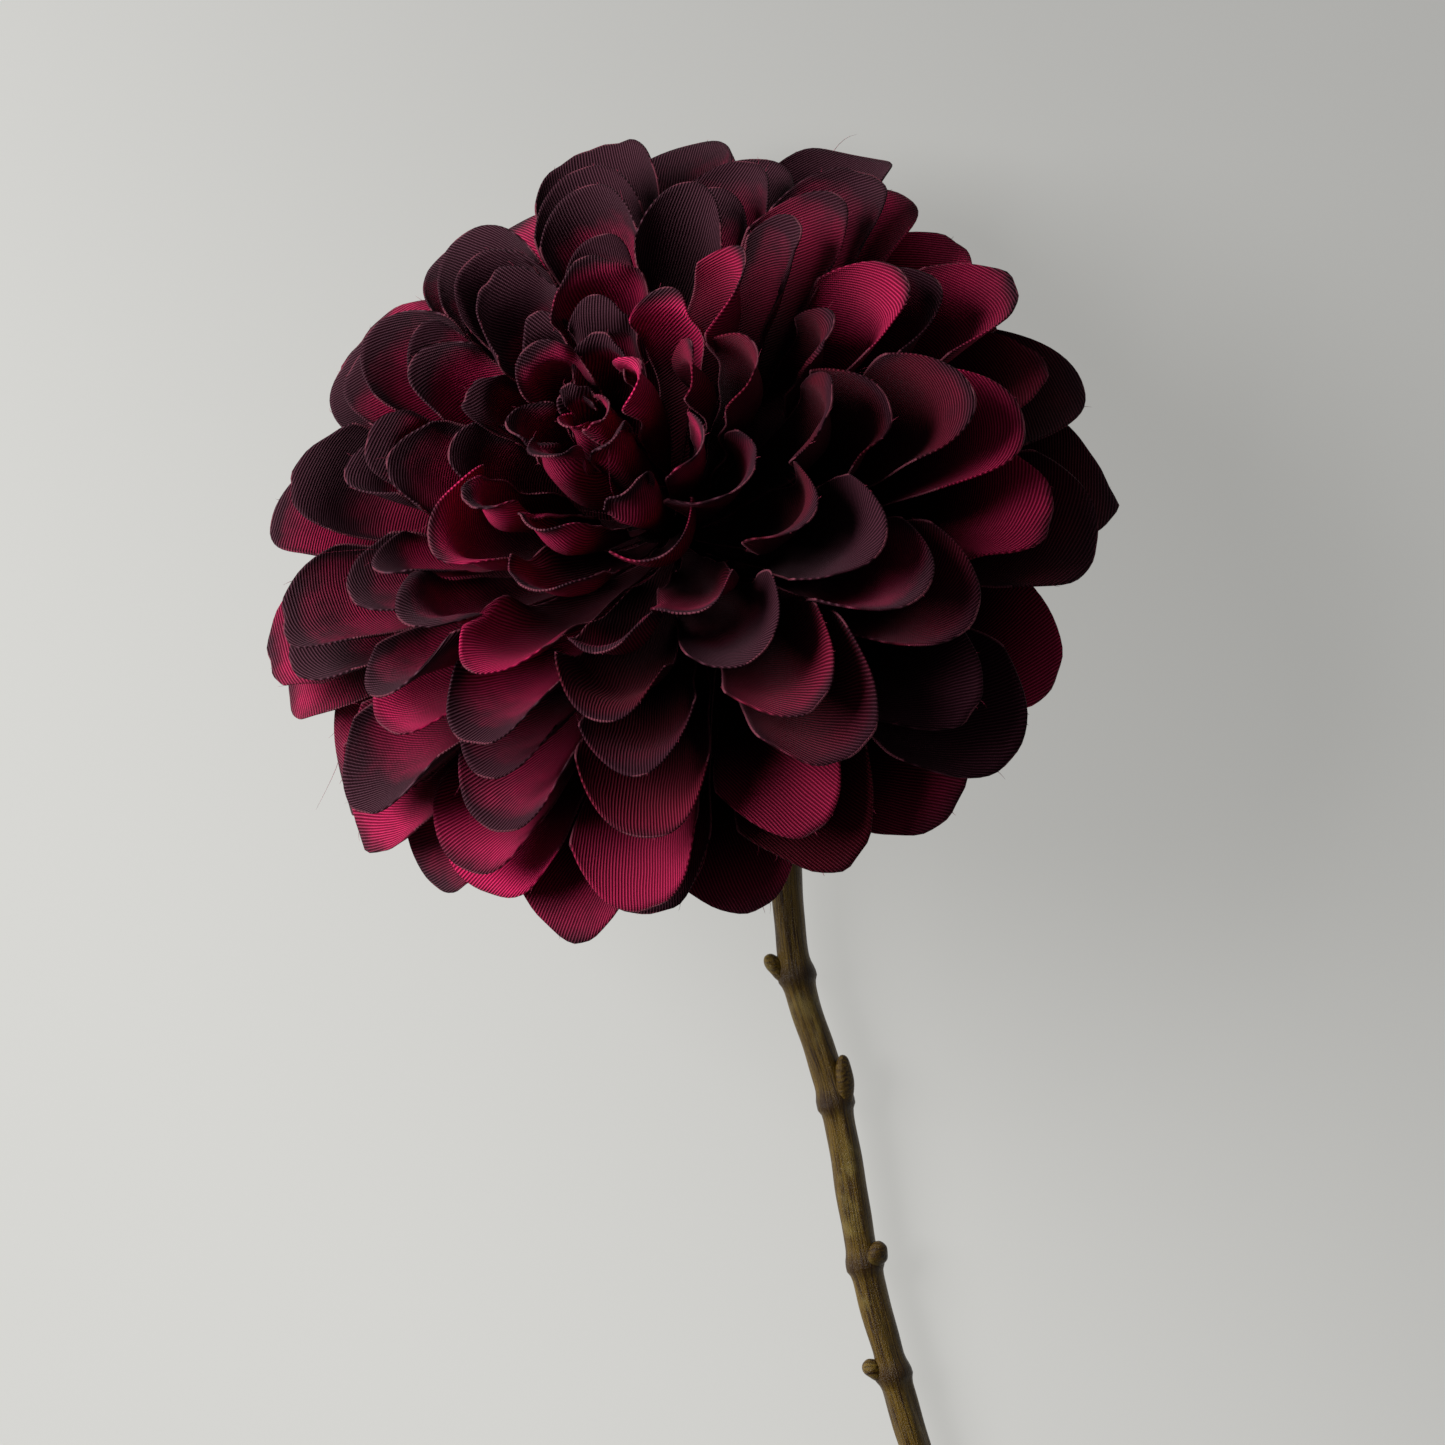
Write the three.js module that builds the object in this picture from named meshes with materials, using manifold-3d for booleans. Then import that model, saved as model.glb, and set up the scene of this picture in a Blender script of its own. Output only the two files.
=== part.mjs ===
// Bordeaux dahlia: one cut bloom of cupped fabric petals on a moulded stem, laid on a surface.
// Millimetres, +Z up. The surface is z = 0, the stem runs towards -Y, and the bloom faces up and +Y.
import * as THREE from 'three';
import { mergeVertices } from 'three/addons/utils/BufferGeometryUtils.js';
import Module from 'manifold-3d';

const wasm = await Module();
wasm.setup();

const radians = THREE.MathUtils.degToRad;
const { lerp, smoothstep } = THREE.MathUtils;

// The head is a flattened ball of petal tips round its centre, on an axis that leans towards +Y.
const HEAD_CENTRE = new THREE.Vector3(1.026, 145.2, 46);
const AXIS_RISE = radians(59);
const HEAD_RADIUS = 70;
const HEAD_FRONT = 41;

// Layers of petals, threaded on a peg, from the innermost outwards. From the third layer on they go in
// pairs, whose petals nest: the tips of a pair are closer together on the ball.
const TIP_ANGLES = [6, 14, 24, 31, 43, 50.5, 63, 72, 86, 97, 107].map(radians);
const LAYERS = TIP_ANGLES.length;
const FIRST_PAIR = 2;
const OUTER_COUNT = 14;
const INNER_COUNTS = [4, 6, 10, 10];
const ROOT_RADIUS = 4.4;
const FIRST_HUB_HEIGHT = 16;
const HUB_PITCH = 4;
const COLUMN_SHIFT = radians(6);
const LAYER_TWIST = radians(3);

// The heart's own axis, which the innermost petals lean towards, as radius and height.
const HEART_FOOT = new THREE.Vector2(2.4, 19);
const HEART_TOP = new THREE.Vector2(1.2, HEAD_FRONT);

// The side view of a layer: its tip leans by a share of the tip's angle and a little more, and it bows
// the other way below.
const TIP_LEAN_SHARE = 1.1;
const TIP_LEAN_OFFSET = radians(8);
const BOW = 0.25;
const LEAVE_SHARE = 0.4;
const ARRIVE_SHARE = 0.33;

// One petal: a strip with an oval end, folded up at both sides into a deep trough.
const PETAL_THICKNESS = 0.76;
const PETAL_ROWS = 4;
const INNER_PETAL_ROWS = 3;
const PETAL_COLUMNS = 3;
const HEART_WIDTH = 12;
const FULL_WIDTH = 33.5;
const FULL_WIDTH_LAYER = 9;
const WIDTH_GROWTH = 0.8;
const ROOT_SHARE = 0.9;
const WIDEN_START = -0.05;
const WIDEN_END = 0.6;
const WALL_GAP = 1.0;
const NARROWEST_HALF = 0.4;
const OUTER_ROOM = 0.96;
const INNER_ROOM = 0.87;
const ROOM_SHARPNESS = 6;
const TIP_OPENING = radians(70);
const OVAL = 0.85;
const OVAL_SPREAD = 0.12;
const BLUNT = 2.6;
const BLUNT_SPREAD = 0.35;
const FOLDS = [0.8, 1.1, 1.25, 1.25, 1.3, 1.3, 1.2, 1.15, 1.0, 0.9, 0.75];
const FOLD_SPREAD = 0.12;
const STEEPEST_WALL = 1.3;
const FOLD_START = 0.1;
const FOLD_FULL = 0.36;
const FLATTEST_FOLD = 1e-3;

// How far petals rise towards the layer inside, as shares of the gap, and where along them each rise is.
const STAGGER = 0.12;
const STAGGER_RANGE = [0.05, 0.4];
const LEAN_IN = 0.14;
const LEAN_RANGE = [0.25, 1];
const SPOONS = [0.12, 0.2, 0.3, 0.35, 0.38, 0.38, 0.35, 0.25, 0.12, 0.1, 0.1];
const SPOON_RANGE = [0.7, 1];

// The scatter of the petals, which is wider at the heart, and the places that the numbering of the draws
// gives to each layer.
const ROLL = 0.16;
const TURN_SPREAD = radians(1.4);
const LENGTH_SPREAD = 0.05;
const HEART_SCATTER = 2.6;
const EVEN_LAYER = 6;
const PLACES = 16;

// How far round the petals of each layer stand, as a share of the angle from one petal to the next.
const COLUMN_OFFSETS = [0.5, 0.5, 0.5, 0.5, 1, 1, 1, 1, 0.7, 0.7, 1];

// Layers whose petals don't line up with those of the layer inside them, so that they stay clear of it.
const BOUND_LAYERS = [0, 1, 2, 4, 8, 10];
const BOUND_SHARE = 0.75;
const HIGHEST_RAISE = 0.76;

// Petals that stick out or stay back, by layer and index: how much longer, and how blunt or pointed.
const MARKED = [
  [8, 12, 1.06, 8],
  [9, 12, 0.98, 4],
  [8, 13, 1.09, 2.4],
  [7, 12, 0.97, 2.4],
  [7, 13, 1.08, 4],
  [6, 0, 1.03, 2.4],
  [8, 0, 1.1, 2.4],
  [8, 1, 1.1, 2.4],
  [7, 1, 1.03, 2.4],
  [7, 2, 1.04, 2.4],
  [7, 4, 1.05, 2.4],
  [8, 3, 1.05, 2.4],
  [9, 3, 1.07, 2.2],
  [9, 4, 1.05, 1.4],
  [9, 6, 0.97, 2.4],
  [9, 8, 1.07, 2.4],
  [9, 9, 1.04, 3.5],
  [7, 10, 1.05, 2.4],
  [9, 10, 1.02, 2.4],
  [9, 11, 0.95, 2.2],
  [8, 11, 0.95, 2.4],
  [10, 9, 1.08, 1.3],
  [10, 8, 1.04, 2.4],
  [10, 7, 1.04, 2.4],
  [10, 5, 1.04, 1.4],
  [10, 4, 1.03, 2.4],
  [10, 3, 1.1, 2.4],
  [2, 7, 1.05, 1.3],
  [1, 4, 1.1, 1.3],
];

// The lowest petals are pressed flat by the surface under the head.
const PRESS_START = 0.3;
const PRESS_FULL = 0.72;
const PRESSED_REACH = 65;
const PRESSED_ROOT_LEAN = radians(88);
const PRESSED_HEIGHT = -0.25;
const PRESSED_CUP = 0.4;

// The hubs of the layers, and the moulded calyx whose peg holds them.
const CLEARANCE = 0.3;
const PEG_RADIUS = 1.6;
const HUB_HOLE = 1.95;
const FLANGE_HALF = 1.1;
const FLANGE_LIMIT = 6.2;
const FLANGE_INSET = 1.5;
const COLLAR_RADIUS = 3.4;
const TOP_COLLAR = 1;
const HUB_SIDES = 8;
const PEG_TOP = 20;
const CALYX_TOP = FIRST_HUB_HEIGHT - HUB_PITCH * (LAYERS - 1) - FLANGE_HALF - CLEARANCE;
const CALYX_BOTTOM = -34;
const SOCKET_RADIUS = 1.95;
const SOCKET_TOP = -28;
const SEPALS = 7;
const SEPAL_HALF_WIDTH = 2.55;
const SEPAL_SWELL = 0.8;
const SEPAL_START = 5;
const SEPAL_LENGTH = 12;
const SEPAL_DEPTH = 1.6;
const SEPAL_FALL = 2.6;
const SEPAL_CUP = 0.5;
const SEPAL_THICKNESS = 1.0;
const SEPAL_TIP_SHARE = 0.02;

// The stem: a moulded rod round a steel wire, bent at the neck and a little at each node.
const STEM_RADIUS = 2.8;
const STEM_SIDES = 8;
const STEM_STEP = 15;
const NECK_LENGTH = 30;
const NECK_STEP = 5;
const NODE_SWELL = 0.6;
const NODE_HALF = 2.2;
const NODE_SLOPE = 0.75;
const KNOB_SEAT = 0.8;
const KNOB_CENTRE = 0.32;
const BORE_RADIUS = 1.15;
const WIRE_RADIUS = 0.8;
const WIRE_SIDES = 6;
const WIRE_START = 40;
const WIRE_REACH = 1.2;

const AXIS = new THREE.Vector3(0, Math.cos(AXIS_RISE), Math.sin(AXIS_RISE));
const LEAN = new THREE.Vector3(0, Math.sin(AXIS_RISE), -Math.cos(AXIS_RISE));
const ASIDE = new THREE.Vector3(-1, 0, 0);
const HEAD_FRAME = new THREE.Matrix4().makeBasis(ASIDE, AXIS, LEAN).setPosition(HEAD_CENTRE);

// A repeatable draw from -1 to 1 for one petal and one of its traits.
function wander(petal, trait) {
  const wave = Math.sin(petal * 12.9898 + trait * 78.233) * 43758.5453;
  return 2 * (wave - Math.floor(wave)) - 1;
}

// The point at a radius from the flower's axis, a turn from its low side and a height along it.
function headPoint(radius, turn, height) {
  return HEAD_CENTRE.clone()
    .addScaledVector(LEAN, radius * Math.cos(turn))
    .addScaledVector(ASIDE, radius * Math.sin(turn))
    .addScaledVector(AXIS, height);
}

// How far the surface under the head flattens a petal, from 0 to 1: only the last layer reaches it.
function pressShare(layer, turn) {
  return layer === LAYERS - 1 ? smoothstep(Math.cos(turn), PRESS_START, PRESS_FULL) : 0;
}

// The ends of a layer's side view, as radius and height, and the way it leaves and arrives.
function layerEnds(layer) {
  const tipAngle = TIP_ANGLES[layer];
  const hub = new THREE.Vector2(ROOT_RADIUS, FIRST_HUB_HEIGHT - HUB_PITCH * layer);
  const tip = new THREE.Vector2(HEAD_RADIUS * Math.sin(tipAngle), HEAD_FRONT * Math.cos(tipAngle));
  const straight = Math.atan2(tip.x - hub.x, tip.y - hub.y);
  const tipLean = TIP_LEAN_SHARE * tipAngle + TIP_LEAN_OFFSET;
  const rootLean = straight + BOW * (straight - tipLean);
  return { hub, tip, rootLean, tipLean };
}

// The side view of a layer's petals at one turn round the head; layer -1 is the heart's own axis.
function layerProfile(layer, turn) {
  if (layer < 0) {
    const thirds = [1 / 3, 2 / 3].map((share) => HEART_FOOT.clone().lerp(HEART_TOP, share));
    return new THREE.CubicBezierCurve(HEART_FOOT, ...thirds, HEART_TOP);
  }
  const { hub, tip, ...leans } = layerEnds(layer);
  let { rootLean, tipLean } = leans;
  const press = pressShare(layer, turn);
  if (press > 0) {
    const fall = PRESSED_REACH * Math.cos(AXIS_RISE) * Math.cos(turn);
    const floorHeight = (PRESSED_HEIGHT + PETAL_THICKNESS / 2 - HEAD_CENTRE.z + fall) / Math.sin(AXIS_RISE);
    const floorLean = Math.atan2(Math.sin(AXIS_RISE), Math.cos(AXIS_RISE) * Math.cos(turn));
    tip.lerp(new THREE.Vector2(PRESSED_REACH, floorHeight), press);
    rootLean = lerp(rootLean, PRESSED_ROOT_LEAN, press);
    tipLean = lerp(tipLean, floorLean, press);
  }
  const reach = hub.distanceTo(tip);
  const leave = new THREE.Vector2(Math.sin(rootLean), Math.cos(rootLean)).multiplyScalar(LEAVE_SHARE * reach);
  const arrive = new THREE.Vector2(Math.sin(tipLean), Math.cos(tipLean)).multiplyScalar(ARRIVE_SHARE * reach);
  return new THREE.CubicBezierCurve(hub, hub.clone().add(leave), tip.clone().sub(arrive), tip);
}

function petalCount(layer) {
  return INNER_COUNTS[layer] ?? OUTER_COUNT;
}

// The inner layer of the pair that a layer belongs to.
function firstOfPair(layer) {
  return layer < FIRST_PAIR ? layer : layer - layer % 2;
}

// The sizes and the draws of one petal. Those of a pair's two layers share what sets their nesting.
function petalTraits(layer, index) {
  const number = layer * PLACES + index;
  const first = firstOfPair(layer);
  const nested = first * PLACES + index;
  const count = petalCount(layer);
  const innerOfPair = layer === first && layer < LAYERS - 1;
  const scatter = lerp(HEART_SCATTER, 1, Math.min(1, first / EVEN_LAYER));
  const column = (index + COLUMN_OFFSETS[layer]) * 2 * Math.PI / count + COLUMN_SHIFT;
  const turn = column + wander(first, 9) * LAYER_TWIST + wander(nested, 1) * TURN_SPREAD * scatter;
  const free = 1 - pressShare(layer, turn);
  const mark = MARKED.find(([markedLayer, markedIndex]) => markedLayer === layer && markedIndex === index);
  return {
    layer,
    turn,
    room: (innerOfPair ? INNER_ROOM : OUTER_ROOM) * Math.PI / count,
    stretch: mark ? mark[2] : 1 + wander(number, 2) * LENGTH_SPREAD * scatter,
    blunt: mark ? mark[3] : BLUNT * (1 + wander(number, 14) * BLUNT_SPREAD),
    oval: OVAL + wander(number, 4) * OVAL_SPREAD,
    width: lerp(HEART_WIDTH, FULL_WIDTH, Math.min(1, layer / FULL_WIDTH_LAYER) ** WIDTH_GROWTH),
    root: ROOT_SHARE * Math.PI * ROOT_RADIUS / count,
    fold: FOLDS[layer] * (1 + wander(nested, 3) * FOLD_SPREAD) * lerp(PRESSED_CUP, 1, free),
    lift: (index % 2) * STAGGER * free,
    lean: (1 + wander(nested, 8)) * LEAN_IN * Math.sqrt(scatter) * free,
    roll: wander(nested, 23) * ROLL * scatter * free,
    spoon: SPOONS[layer] * free,
  };
}

// Half the width of the flat petal at a distance from its root.
function halfWidth(traits, along, shoulder, tall) {
  const round = traits.width / 2;
  if (along > shoulder) return round * Math.sqrt(Math.max(0, 1 - ((along - shoulder) / tall) ** 2));
  return lerp(traits.root, round, smoothstep(along / shoulder, WIDEN_START, WIDEN_END));
}

// The steepest fold whose raised edges stay in the space to the layer inside the pair.
function boundFold(traits, share, half) {
  const first = firstOfPair(traits.layer);
  if (!BOUND_LAYERS.includes(first)) return Math.PI / 2;
  const own = layerProfile(first, traits.turn).getPoint(share);
  const space = layerProfile(first - 1, traits.turn).getPoint(share).distanceTo(own);
  return 2 * Math.atan(BOUND_SHARE * space / half);
}

// A point of the petal's middle surface; across runs from -1 to 1 and along from 0 to 1. A row of the flat
// petal is wrapped on an arc that turns by the fold at either edge and fits between the next petals.
function petalPoint(traits, across, along) {
  const { layer, turn, stretch } = traits;
  const outline = layerProfile(layer, turn);
  const inner = layerProfile(layer - 1, turn);
  const length = outline.getLength() * stretch;
  const tall = traits.width / 2 * traits.oval;
  const shoulder = length - tall;
  const row = along * (shoulder + tall * Math.cos(TIP_OPENING));
  const opening = TIP_OPENING * Math.max(along, 0.01);
  const spread = Math.sin(opening * across) / Math.sin(opening);
  const bulge = tall * along * along * (1 - Math.cos(opening)) * (1 - Math.abs(spread) ** traits.blunt);
  const rowShare = row / length * stretch;
  const flat = halfWidth(traits, row, shoulder, tall);
  const steepest = Math.min(traits.fold, STEEPEST_WALL / (1 + Math.abs(traits.roll)));
  const wanted = steepest * smoothstep(row / length, FOLD_START, FOLD_FULL);
  const fold = Math.max(FLATTEST_FOLD, Math.min(wanted, boundFold(traits, rowShare, flat)));
  const room = Math.max(NARROWEST_HALF, traits.room * outline.getPoint(rowShare).x - WALL_GAP / 2);
  const wide = flat * Math.sin(fold) / fold;
  const chord = (wide ** -ROOM_SHARPNESS + room ** -ROOM_SHARPNESS) ** (-1 / ROOM_SHARPNESS);
  const bend = chord / Math.sin(fold);
  const wrap = fold * (spread + traits.roll);
  const share = (row + bulge) / length;
  const own = outline.getPoint(share * stretch);
  const towards = inner.getPoint(share * stretch).sub(own);
  const raise = bend * (1 - Math.cos(wrap)) / towards.length()
    + traits.lift * smoothstep(share, ...STAGGER_RANGE)
    + traits.lean * smoothstep(share, ...LEAN_RANGE)
    + traits.spoon * smoothstep(share, ...SPOON_RANGE);
  own.addScaledVector(towards, BOUND_LAYERS.includes(layer) ? Math.min(raise, HIGHEST_RAISE) : raise);
  return headPoint(own.x, turn + bend * Math.sin(wrap) / own.x, own.y);
}

// A closed blade from a grid of middle points, with both faces split into the same triangles.
function blade(point, rows, columns, thickness) {
  const middle = [];
  for (let row = 0; row <= rows; row += 1) {
    for (let column = 0; column <= columns; column += 1) {
      middle.push(point(2 * column / columns - 1, row / rows));
    }
  }
  const at = (row, column) => row * (columns + 1) + column;
  const near = (row, column) => middle[at(
    Math.min(Math.max(row, 0), rows),
    Math.min(Math.max(column, 0), columns),
  )];
  const front = [];
  const back = [];
  for (let row = 0; row <= rows; row += 1) {
    for (let column = 0; column <= columns; column += 1) {
      const along = near(row + 1, column).clone().sub(near(row - 1, column));
      const across = near(row, column + 1).clone().sub(near(row, column - 1));
      const normal = across.cross(along).setLength(thickness / 2);
      front.push(near(row, column).clone().add(normal));
      back.push(near(row, column).clone().sub(normal));
    }
  }
  const triangles = [];
  const rear = middle.length;
  for (let row = 0; row < rows; row += 1) {
    for (let column = 0; column < columns; column += 1) {
      const corners = [at(row, column), at(row, column + 1), at(row + 1, column), at(row + 1, column + 1)];
      const [a, b, c, d] = corners;
      triangles.push(a, b, c, b, d, c);
      triangles.push(rear + a, rear + c, rear + b, rear + b, rear + c, rear + d);
    }
  }
  const rim = [];
  for (let column = 0; column < columns; column += 1) rim.push(at(0, column));
  for (let row = 0; row < rows; row += 1) rim.push(at(row, columns));
  for (let column = columns; column > 0; column -= 1) rim.push(at(rows, column));
  for (let row = rows; row > 0; row -= 1) rim.push(at(row, 0));
  rim.forEach((here, place) => {
    const next = rim[(place + 1) % rim.length];
    triangles.push(here, rear + here, next, next, rear + here, rear + next);
  });
  return solid([...front, ...back], triangles);
}

function solid(points, triangles) {
  const vertProperties = new Float32Array(points.flatMap((point) => point.toArray()));
  return new wasm.Manifold(new wasm.Mesh({
    numProp: 3,
    vertProperties,
    triVerts: new Uint32Array(triangles),
  }));
}

// A three.js geometry, moved by a matrix, as a solid with its shared vertices merged.
function solidOf(geometry, matrix) {
  geometry.deleteAttribute('normal');
  geometry.deleteAttribute('uv');
  const merged = mergeVertices(geometry, 1e-4).applyMatrix4(matrix);
  return new wasm.Manifold(new wasm.Mesh({
    numProp: 3,
    vertProperties: new Float32Array(merged.attributes.position.array),
    triVerts: new Uint32Array(merged.index.array),
  }));
}

// A solid of revolution round the flower's axis, from pairs of radius and height, lowest first.
function turned(profile, sides) {
  const outline = profile.map(([radius, height]) => new THREE.Vector2(radius, height));
  return solidOf(new THREE.LatheGeometry(outline, sides), HEAD_FRAME);
}

// The half-space under the surface, as one large block.
function underFloor() {
  const size = 1200;
  const place = new THREE.Matrix4().makeTranslation(0, 0, -size / 2);
  return solidOf(new THREE.BoxGeometry(size, size, size), place);
}

// The hub of a layer: a flange that holds the petals' roots and a collar that spaces the layers.
function hub(layer) {
  const middle = FIRST_HUB_HEIGHT - HUB_PITCH * layer;
  const nextLean = layerEnds(Math.min(layer + 1, LAYERS - 1)).rootLean;
  const room = ROOT_RADIUS + (HUB_PITCH - FLANGE_HALF) * Math.tan(nextLean) - FLANGE_INSET;
  const flange = Math.min(FLANGE_LIMIT, room);
  const collarTop = layer === 0 ? FLANGE_HALF + TOP_COLLAR : HUB_PITCH - FLANGE_HALF - CLEARANCE;
  return turned([
    [HUB_HOLE, middle - FLANGE_HALF],
    [flange, middle - FLANGE_HALF],
    [flange, middle + FLANGE_HALF],
    [COLLAR_RADIUS, middle + FLANGE_HALF],
    [COLLAR_RADIUS, middle + collarTop],
    [HUB_HOLE, middle + collarTop],
    [HUB_HOLE, middle - FLANGE_HALF],
  ], HUB_SIDES);
}

function petalDisc(layer) {
  const pieces = [hub(layer)];
  for (let index = 0; index < petalCount(layer); index += 1) {
    const traits = petalTraits(layer, index);
    const point = (across, along) => petalPoint(traits, across, along);
    const rows = layer < INNER_COUNTS.length ? INNER_PETAL_ROWS : PETAL_ROWS;
    pieces.push(blade(point, rows, PETAL_COLUMNS, PETAL_THICKNESS));
  }
  return outerBody(wasm.Manifold.union(pieces).subtract(underFloor()));
}

// The one outer body of a joined solid, with any hollow that the joining sealed filled in.
function outerBody(joined) {
  const parts = joined.decompose();
  return parts.reduce((largest, part) => (part.volume() > largest.volume() ? part : largest));
}

// A sepal: a short leaf of the calyx that bends back from the flange.
function sepal(index) {
  const turn = (index + 0.5) * 2 * Math.PI / SEPALS;
  return blade((across, along) => {
    const taper = Math.sqrt(Math.max(SEPAL_TIP_SHARE, 1 - along));
    const half = SEPAL_HALF_WIDTH * taper * (1 + SEPAL_SWELL * along);
    const radius = SEPAL_START + SEPAL_LENGTH * along;
    const height = CALYX_TOP - SEPAL_DEPTH - SEPAL_FALL * along * along + SEPAL_CUP * across * across;
    return headPoint(radius, turn + half * across / radius, height);
  }, 3, 2, SEPAL_THICKNESS);
}

function calyx() {
  const body = turned([
    [0, CALYX_BOTTOM],
    [3.2, CALYX_BOTTOM],
    [3.5, CALYX_BOTTOM + 1],
    [4.4, CALYX_TOP - 6.2],
    [7.4, CALYX_TOP - 3.4],
    [8.4, CALYX_TOP - 1],
    [7.2, CALYX_TOP],
    [PEG_RADIUS, CALYX_TOP],
    [PEG_RADIUS, PEG_TOP - 1],
    [PEG_RADIUS * 0.6, PEG_TOP],
    [0, PEG_TOP],
  ], HUB_SIDES);
  const socket = turned([
    [0, CALYX_BOTTOM - 2],
    [SOCKET_RADIUS, CALYX_BOTTOM - 2],
    [SOCKET_RADIUS, SOCKET_TOP],
    [0, SOCKET_TOP],
  ], HUB_SIDES);
  const sepals = Array.from({ length: SEPALS }, (unused, index) => sepal(index));
  return wasm.Manifold.union([body, ...sepals]).subtract(socket);
}

// The stem's route from the calyx to the cut end; the offsets are from the head's centre.
const NECK = [CALYX_BOTTOM - CLEARANCE, -36.5, -39.5].map((height) => headPoint(0, 0, height));
const BEND = [[-0.3, -26.6, 9], [-1.7, -37, 7.4], [-6, -62, 7]];
const NODES = [
  [-7.7, -78.5, 6.8],
  [-5.5, -101.5, 6.5],
  [-6.3, -130.5, 6.1],
  [-5.2, -150.5, 5.9],
  [-3, -182.5, 5.5],
  [-6.6, -214.5, 5],
  [-4.8, -251, 4.5],
  [-7.6, -288.5, 3.9],
  [-5.8, -326, 3.3],
];
const CUT_END = [-7, -357, 3.15];
const fromHead = ([x, y, z]) => new THREE.Vector3(HEAD_CENTRE.x + x, HEAD_CENTRE.y + y, z);
const ROUTE = new THREE.CatmullRomCurve3(
  [...NECK, ...BEND.map(fromHead), ...NODES.map(fromHead), fromHead(CUT_END)],
  false,
  'centripetal',
);
const ROUTE_LENGTH = ROUTE.getLength();

// How far along the route each node lies.
function nodeStations() {
  const samples = 2000;
  const points = ROUTE.getSpacedPoints(samples);
  return NODES.map(fromHead).map((node) => {
    let best = 0;
    points.forEach((point, place) => {
      if (point.distanceTo(node) < points[best].distanceTo(node)) best = place;
    });
    return best * ROUTE_LENGTH / samples;
  });
}
const STATIONS = nodeStations();

function stemRadius(station) {
  const swell = STATIONS.map((node) => Math.exp(-(((station - node) / (NODE_SLOPE * NODE_HALF)) ** 2)));
  return STEM_RADIUS + NODE_SWELL * Math.max(...swell);
}

// A rod along the route between two stations, as rings of points and two end caps.
function rod(stations, sides, radiusAt) {
  const points = [];
  const triangles = [];
  const level = new THREE.Vector3(1, 0, 0);
  stations.forEach((station) => {
    const share = Math.min(Math.max(station / ROUTE_LENGTH, 0), 1);
    const heading = ROUTE.getTangentAt(share);
    const centre = ROUTE.getPointAt(share).addScaledVector(heading, station - share * ROUTE_LENGTH);
    const over = new THREE.Vector3().crossVectors(heading, level).normalize();
    const beside = new THREE.Vector3().crossVectors(over, heading);
    const radius = radiusAt(station);
    for (let side = 0; side < sides; side += 1) {
      const angle = side * 2 * Math.PI / sides;
      points.push(centre.clone()
        .addScaledVector(beside, radius * Math.cos(angle))
        .addScaledVector(over, radius * Math.sin(angle)));
    }
  });
  for (let ring = 0; ring < stations.length - 1; ring += 1) {
    for (let side = 0; side < sides; side += 1) {
      const next = (side + 1) % sides;
      const [a, b] = [ring * sides + side, ring * sides + next];
      triangles.push(a, b, a + sides, b, b + sides, a + sides);
    }
  }
  const last = (stations.length - 1) * sides;
  for (let side = 1; side < sides - 1; side += 1) {
    triangles.push(0, side + 1, side);
    triangles.push(last, last + side, last + side + 1);
  }
  return solid(points, triangles);
}

// Stations every step, with extra ones round each node in the range.
function spread(from, to, step) {
  const count = Math.ceil((to - from) / step);
  const even = Array.from({ length: count + 1 }, (unused, place) => lerp(from, to, place / count));
  const close = STATIONS.flatMap((node) => [node - NODE_HALF, node, node + NODE_HALF]);
  const crowded = (station) => close.some((other) => Math.abs(other - station) < 0.45 * step);
  const kept = even.filter((station, place) => place === 0 || place === count || !crowded(station));
  const inside = close.filter((station) => station > from + 0.5 && station < to - 0.5);
  return [...kept, ...inside].sort((one, other) => one - other);
}

// An egg-shaped bud or knob at a node, leaning from the stem towards the head.
function knob(node, side, length, radius, leanAngle) {
  const share = STATIONS[node] / ROUTE_LENGTH;
  const heading = ROUTE.getTangentAt(share).negate();
  const out = new THREE.Vector3(Math.cos(side), 0, Math.sin(side));
  const along = heading.multiplyScalar(Math.cos(leanAngle)).addScaledVector(out, Math.sin(leanAngle));
  along.normalize();
  const turn = new THREE.Quaternion().setFromUnitVectors(new THREE.Vector3(0, 1, 0), along);
  const centre = ROUTE.getPointAt(share)
    .addScaledVector(out, STEM_RADIUS * KNOB_SEAT)
    .addScaledVector(along, length * KNOB_CENTRE);
  const place = new THREE.Matrix4().compose(centre, turn, new THREE.Vector3(radius, length / 2, radius));
  return solidOf(new THREE.SphereGeometry(1, 6, 4), place);
}

function stem() {
  const peg = turned([
    [0, CALYX_BOTTOM - 2],
    [PEG_RADIUS, CALYX_BOTTOM - 2],
    [PEG_RADIUS, SOCKET_TOP - CLEARANCE],
    [0, SOCKET_TOP - CLEARANCE],
  ], HUB_SIDES);
  const neck = spread(0, NECK_LENGTH, NECK_STEP);
  const shaft = spread(NECK_LENGTH, ROUTE_LENGTH, STEM_STEP).slice(1);
  const body = rod([...neck, ...shaft], STEM_SIDES, stemRadius);
  const bore = rod([WIRE_START, ...STATIONS, ROUTE_LENGTH + 4], WIRE_SIDES, () => BORE_RADIUS);
  const knobs = [
    knob(0, radians(155), 6, 1.6, radians(30)),
    knob(1, radians(20), 10, 1.6, radians(12)),
    knob(2, radians(25), 5.2, 1.8, radians(40)),
    knob(3, radians(150), 4.6, 1.7, radians(42)),
    knob(5, radians(40), 7.5, 1.4, radians(18)),
    knob(6, radians(140), 4.4, 1.5, radians(60)),
    knob(7, radians(25), 8.5, 1.4, radians(15)),
  ];
  return wasm.Manifold.union([body, peg, ...knobs]).subtract(bore).subtract(underFloor());
}

function stemWire() {
  const stations = [WIRE_START + CLEARANCE, ...STATIONS, ROUTE_LENGTH + WIRE_REACH];
  return rod(stations, WIRE_SIDES, () => WIRE_RADIUS);
}

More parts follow.
